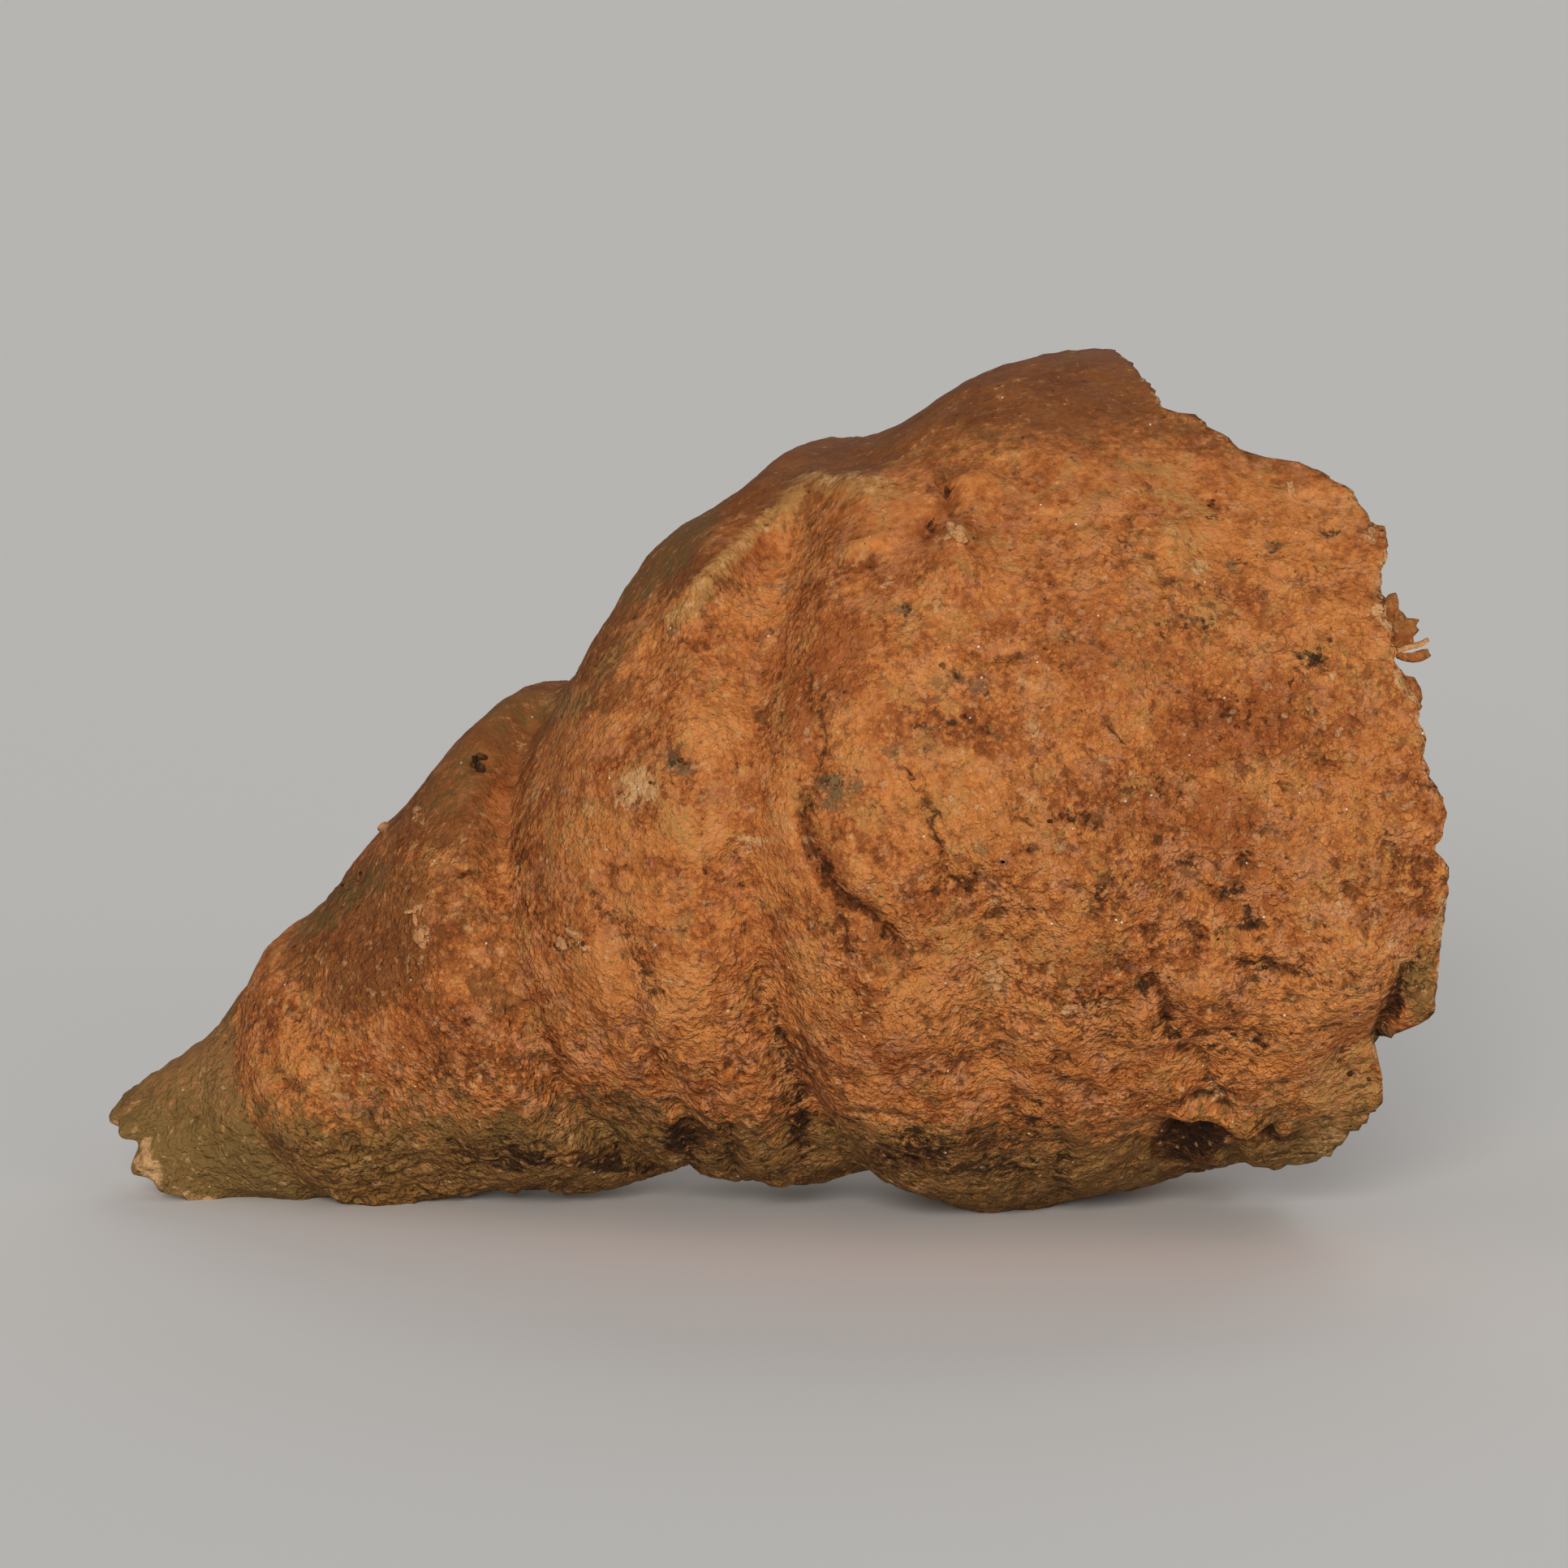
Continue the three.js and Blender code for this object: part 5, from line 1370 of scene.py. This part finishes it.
def make_cracks():
    """Thin broken lines: the borders of scattered cells whose places are
    shaken by noise, kept only where a broader noise is high."""
    group, given, out = new_group("stone_cracks", "Mask", Scale=600.0, Width=0.05,
                                  Amount=0.5)
    shake = add_node(group, "ShaderNodeTexNoise",
                     {"Vector": given["Place"], "Scale": 1600.0, "Detail": 2.0})
    shift = add_node(group, "ShaderNodeVectorMath",
                     {0: shake.outputs["Color"], 1: (0.0014, 0.0014, 0.0014),
                      2: given["Place"]}, operation="MULTIPLY_ADD")
    edges = add_node(group, "ShaderNodeTexVoronoi",
                     {"Vector": shift.outputs[0], "Scale": given["Scale"]},
                     feature="DISTANCE_TO_EDGE")
    line = between(group, edges.outputs["Distance"], given["Width"], 0.0)
    half = times(group, given["Scale"], 0.55)
    kept = layered_noise(group, given["Place"], half, 3.0)
    low = scaled(group, given["Amount"], -0.4, 0.72)
    high = calculate(group, "ADD", low, EDGE_CUT)
    kept = between(group, kept, low, high)
    group.links.new(times(group, line, kept), out)
    return group


def make_glints():
    """Painted glints of tiny bright crystals: round dots at the middles of the
    few cells whose own number is below the amount."""
    group, given, out = new_group("stone_glints", "Mask", Scale=6000.0, Amount=0.01)
    spread = add_node(group, "ShaderNodeTexVoronoi",
                      {"Vector": given["Place"], "Scale": given["Scale"]})
    number = add_node(group, "ShaderNodeSeparateColor",
                      {"Color": spread.outputs["Color"]})
    chosen = calculate(group, "LESS_THAN", number.outputs[0], given["Amount"])
    dot = between(group, spread.outputs["Distance"], 0.5, 0.3)
    group.links.new(times(group, dot, chosen), out)
    return group


def make_grain():
    """Height of the finest crumbs, 0 to 1 about 0.5: three sizes of noise,
    each about a third of the one before."""
    group, given, out = new_group("stone_grain", "Height", Scale=1000.0)
    large = layered_noise(group, given["Place"], given["Scale"], 1.0)
    scale = times(group, given["Scale"], 2.7)
    middle = layered_noise(group, given["Place"], scale, 1.0)
    scale = times(group, given["Scale"], 7.0)
    fine = layered_noise(group, given["Place"], scale, 0.0)
    height = times(group, large, 0.46)
    height = scaled(group, middle, 0.38, height)
    group.links.new(scaled(group, fine, 0.16, height), out)
    return group


def make_crumble():
    """Small lumps packed side by side: the distance to the nearest of strewn
    points, whose places are shaken by noise, 0 in the gaps to 1 on the lumps."""
    group, given, out = new_group("stone_crumble", "Height", Scale=1500.0, Shake=1.15)
    scale = times(group, given["Scale"], 1.9)
    shake = add_node(group, "ShaderNodeTexNoise",
                     {"Vector": given["Place"], "Scale": scale, "Detail": 1.0})
    reach = calculate(group, "DIVIDE", given["Shake"], given["Scale"])
    shift = add_node(group, "ShaderNodeVectorMath",
                     {0: shake.outputs["Color"], "Scale": reach}, operation="SCALE")
    shift = add_node(group, "ShaderNodeVectorMath",
                     {0: shift.outputs[0], 1: given["Place"]}, operation="ADD")
    spread = add_node(group, "ShaderNodeTexVoronoi",
                      {"Vector": shift.outputs[0], "Scale": given["Scale"]})
    group.links.new(between(group, spread.outputs["Distance"], 0.85, 0.10), out)
    return group


def make_ring():
    """A ring about the place's origin: 1 where the distance from the ring is
    under about half the width, falling to 0 at the width."""
    group, given, out = new_group("stone_ring", "Mask", Radius=0.0, Width=0.0002)
    away = add_node(group, "ShaderNodeVectorMath", {0: given["Place"]},
                    operation="LENGTH").outputs["Value"]
    gap = calculate(group, "SUBTRACT", away, given["Radius"])
    gap = calculate(group, "ABSOLUTE", gap, 0.0)
    half = times(group, given["Width"], 0.55)
    group.links.new(between(group, gap, given["Width"], half), out)
    return group


def make_fissure():
    """The drawn cracks: dark where the distance to the nearest one, shaken by
    fine noise, is below the crack's width. Both come as shares of the crack
    span; the distance is below zero on the line's left, and has 0.5 added."""
    group, given, out = new_group("stone_fissure", "Mask", Gap=0.5, Width=0.0)
    shake = layered_noise(group, given["Place"], 3600.0, 2.0, 0.7)
    gap = calculate(group, "SUBTRACT", given["Gap"], 0.5)
    gap = scaled(group, calculate(group, "SUBTRACT", shake, 0.5), 0.12, gap)
    gap = calculate(group, "ABSOLUTE", gap, 0.0)
    uneven = layered_noise(group, given["Place"], 1200.0, 1.0)
    width = times(group, given["Width"], scaled(group, uneven, 2.6, -0.2))
    width = calculate(group, "MAXIMUM", width, 0.0001)
    half = times(group, width, 0.35)
    line = between(group, gap, width, half)
    kept = between(group, uneven, 0.38, 0.54, 0.15, 1.0)
    kept = times(group, kept, between(group, given["Width"], 0.010, 0.022))
    group.links.new(times(group, line, kept), out)
    return group


def make_stone(name, groups, tint=None, rings=()):
    """The weathered stone. Layered noise picks a colour from dark to pale
    cloud, and the piece's ochre and rust masks push that choice up and down.
    The other masks lay their own colours over it, broken up by mottle; painted
    shade, with some dirt, darkens hollows, a painted highlight lightens what
    stands up, and wear calms the grain on top; dirt and painted shade darken
    the gaps between lumps; streaks run along the horn; specks, veins, flecks,
    the drawn cracks, worm rings and painted glints come last; a ring is a
    place with its radius and half width. A tint, a colour and its strength,
    paints pieces without masks."""
    material = bpy.data.materials.new(name)
    material.use_nodes = True
    tree = material.node_tree
    shader = tree.nodes["Principled BSDF"]

    def mask(attribute, output="Fac"):
        return add_node(tree, "ShaderNodeAttribute",
                        attribute_name=attribute).outputs[output]

    place = mask("skin", "Vector")
    streaky = add_node(tree, "ShaderNodeMapping",
                       {"Vector": mask("unbent", "Vector"),
                        "Scale": STREAK_SQUEEZE}).outputs[0]

    def group(kind, at, **values):
        node = add_node(tree, "ShaderNodeGroup", node_tree=groups[kind])
        join(tree, at, node.inputs["Place"])
        for label, value in values.items():
            join(tree, value, node.inputs[label])
        return node.outputs[0]

    def paint(colour, kind, factor, strength=1.0):
        share = times(tree, factor, strength, limited=True)
        return blend(tree, share, colour, (*STONE[kind], 1))

    coarse, ribbed, hollow_dirt_and_shade = mask("coarse"), mask("ribbed"), mask("hollow_dirt_and_shade")
    broad = layered_noise(tree, place, BROAD, 4.0, 0.62, 0.3)
    cluster = layered_noise(tree, place, CLUSTER, 3.0)
    grainy = layered_noise(tree, place, GRAINY, 3.0, 0.70)
    streak = layered_noise(tree, streaky, STREAKY, 2.0)
    cloud = scaled(tree, broad, CLOUD_MOVES["broad"], CLOUD_SHIFT)
    cloud = scaled(tree, grainy, CLOUD_MOVES["grainy"], cloud)
    streak = calculate(tree, "SUBTRACT", streak, 0.5)
    cloud = scaled(tree, streak, scaled(tree, ribbed, CLOUD_MOVES["streak"]), cloud)
    for kind in ("ochre", "rust"):
        cloud = scaled(tree, mask(kind), CLOUD_MOVES[kind], cloud)
    ramp = add_node(tree, "ShaderNodeValToRGB", {"Fac": cloud})
    stops = ramp.color_ramp.elements
    while len(stops) < len(CLOUDS):
        stops.new(0.5)
    for stop, (share, colour) in zip(stops, CLOUDS):
        stop.position = share
        stop.color = (*colour, 1)
    colour = ramp.outputs["Color"]
    for kind, (scale, low, high, strength, added) in COATS.items():
        coat = group("mottle", place, Scale=scale, Low=low, High=high, Detail=4.0)
        if added:
            strength = scaled(tree, coarse, added, strength)
        colour = paint(colour, kind, coat, strength)

    grain = group("grain", place, Scale=GRAIN)
    lumps = group("crumble", place, Scale=LUMPS)
    dirt = mask("dirt")
    calm = scaled(tree, mask("worn"), -0.65, 1.0)
    small = group("crumble", place, Scale=SMALL_LUMPS)
    crumbs = scaled(tree, grain, 3.2, small)
    pits = times(tree, between(tree, crumbs, 1.90, 1.46), calm)
    pits = times(tree, pits, between(tree, cluster, 0.36, 0.58, 0.5, 1.15))
    colour = paint(colour, "umber", pits, scaled(tree, coarse, 0.06, 0.47))
    peaks = times(tree, between(tree, crumbs, 2.15, 2.62), calm)
    colour = paint(colour, "ochre", peaks, scaled(tree, coarse, 0.15, 0.52))

    shift = calculate(tree, "SUBTRACT", grain, 0.5)

    def ragged(value, low, high, gain=2.0):
        """A mask cut between low and high once the grain has roughened it."""
        return between(tree, scaled(tree, shift, gain, value), low, high)

    # painted shade, with some dirt: umber in the hollows
    colour = paint(colour, "umber", ragged(hollow_dirt_and_shade, 0.30, 0.90, -2.0), PAINTED["hollow_dirt_and_shade"])
    # painted highlight: ochre on what stands up
    colour = paint(colour, "ochre", ragged(mask("raised_highlight"), 0.30, 0.90), PAINTED["raised_highlight"])
    strewn = between(tree, grainy, 0.40, 0.56, 0.35, 1.0)
    for kind, (strength, gain) in STAINS.items():
        share = ragged(mask(kind), 0.30, 0.80, gain)
        if kind in STREWN_STAINS:
            share = times(tree, share, strewn)
        colour = paint(colour, kind, share, strength)

    # dirt and painted shade: umber in the gaps between the lumps that the bump raises
    gaps = between(tree, lumps, 0.24, 0.02)
    often = between(tree, cluster, 0.40, 0.62, 0.10, 1.0)
    often = calculate(tree, "MAXIMUM", often, dirt)
    gaps = times(tree, gaps, often)
    much = scaled(tree, dirt, 0.35, scaled(tree, coarse, 0.44, 0.20))
    colour = paint(colour, "umber", gaps, much)

    low = scaled(tree, hollow_dirt_and_shade, -0.05, scaled(tree, coarse, -0.045, 0.72))
    low = scaled(tree, often, -0.04, low)
    low = scaled(tree, dirt, -0.15, low)
    high = calculate(tree, "ADD", low, EDGE_CUT)
    specks = group("mottle", place, Scale=SPECKS, Low=low, High=high)
    low = scaled(tree, often, -0.05, scaled(tree, ribbed, -0.15, 0.80))
    high = calculate(tree, "ADD", low, EDGE_CUT)
    dashes = group("mottle", streaky, Scale=DASHES, Low=low, High=high)
    specks = calculate(tree, "MAXIMUM", specks, dashes)
    colour = paint(colour, "soot_and_shade", specks, PAINTED["specks"])
    veins = group("cracks", place, Scale=VEINS, Width=0.05, Amount=0.30)
    colour = paint(colour, "umber", veins, PAINTED["veins"])
    flecks = group("mottle", place, Scale=FLECKS, Low=0.62, High=0.72)
    colour = paint(colour, "cream", times(tree, flecks, calm), PAINTED["flecks"])
    fissure = group("fissure", place, Gap=mask("crack_gap"), Width=mask("crack_width"))
    colour = paint(colour, "soot_and_shade", fissure, PAINTED["crack_soot"])
    colour = paint(colour, "umber", fissure, PAINTED["crack_umber"])
    for centre, radius, width in rings:
        actual = add_node(tree, "ShaderNodeTexCoord").outputs["Object"]
        offset = add_node(tree, "ShaderNodeVectorMath", {0: actual, 1: tuple(centre)},
                          operation="SUBTRACT").outputs[0]
        bored = group("ring", offset, Radius=radius, Width=width)
        bored = times(tree, bored, between(tree, grain, 0.44, 0.56))
        colour = paint(colour, "umber", bored, PAINTED["rings"])
    # painted highlight: glints
    glints = group("glints", place, Scale=GLINTS, Amount=0.0012)
    colour = paint(colour, "glint", glints, PAINTED["glints"])
    if tint:
        kind, strength = tint
        colour = paint(colour, kind, between(tree, grainy, 0.3, 0.6, 0.6, 1.0), strength)
    tree.links.new(colour, shader.inputs["Base Color"])

    rough = between(tree, grainy, 0.3, 0.7, 0.74, 0.92)
    rough = scaled(tree, glints, -0.5, rough, True)
    tree.links.new(rough, shader.inputs["Roughness"])
    shader.inputs["Specular IOR Level"].default_value = 0.15
    height = times(tree, lumps, scaled(tree, coarse, 0.31, 0.29))
    height = scaled(tree, small, scaled(tree, coarse, 0.12, 0.30), height)
    height = times(tree, height, calm)
    bump = add_node(tree, "ShaderNodeBump", {"Height": height, "Strength": 1.0,
                                             "Distance": BUMP_DISTANCE})
    tree.links.new(bump.outputs["Normal"], shader.inputs["Normal"])
    return material


# ---- The whole scene -------------------------------------------------------------

bpy.context.scene.view_settings.view_transform = "Standard"
make_camera()
make_floor()
make_lights()

groups = {"mottle": make_mottle(), "cracks": make_cracks(), "glints": make_glints(),
          "grain": make_grain(), "crumble": make_crumble(),
          "fissure": make_fissure(), "ring": make_ring()}
places, row_count, attributes, wall, wall_turn = coral_mesh()
stone = make_stone("weathered_coral_stone", groups,
                   rings=on_wall(WORM_RINGS, wall, wall_turn))
flake_stone = make_stone("brown_flake_stone", groups, ("brown", 0.45))
crumb_stone = make_stone("pale_crumb_stone", groups, ("cream", 0.55))
# grit and painted shade in holes: near black lumps
hole_grit_and_shade_stone = make_stone("grit_and_hole_shade_stone", groups, ("soot_and_shade", 0.95))
body = new_piece("coral_body", places, tube_faces(row_count, COLUMNS), stone, attributes)
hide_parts("horn_coral")
crumbs = CRUMBS + [(across, down, radius, radius, 0, GRAIN_PROUD)
                   for across, down, radius in GRAINS]
hole_grit_and_shade = [(across, down, HOLE_GRIT_AND_SHADE_SHARE * half_along, HOLE_GRIT_AND_SHADE_SHARE * half_up, tilt, GRAIN_PROUD)
        for across, down, half_along, half_up, tilt in HOLE_GRIT_AND_SHADE]
hole_grit_and_shade += [(*mark, HOOK_PROUD) for mark in HOOK]
for name, grids, material in (
        ("rim_flakes", chip_grids(CHIPS, CHIP_THICKNESS, wall, wall_turn), flake_stone),
        ("rim_sliver", chip_grids(SLIVER, SLIVER_THICKNESS, wall, wall_turn), crumb_stone),
        ("stuck_crumbs", crumb_grids(crumbs, wall, wall_turn), crumb_stone),
        ("grit_and_hole_shade", crumb_grids(hole_grit_and_shade, wall, wall_turn), hole_grit_and_shade_stone)):
    new_piece(name, *closed_grids(grids), material)
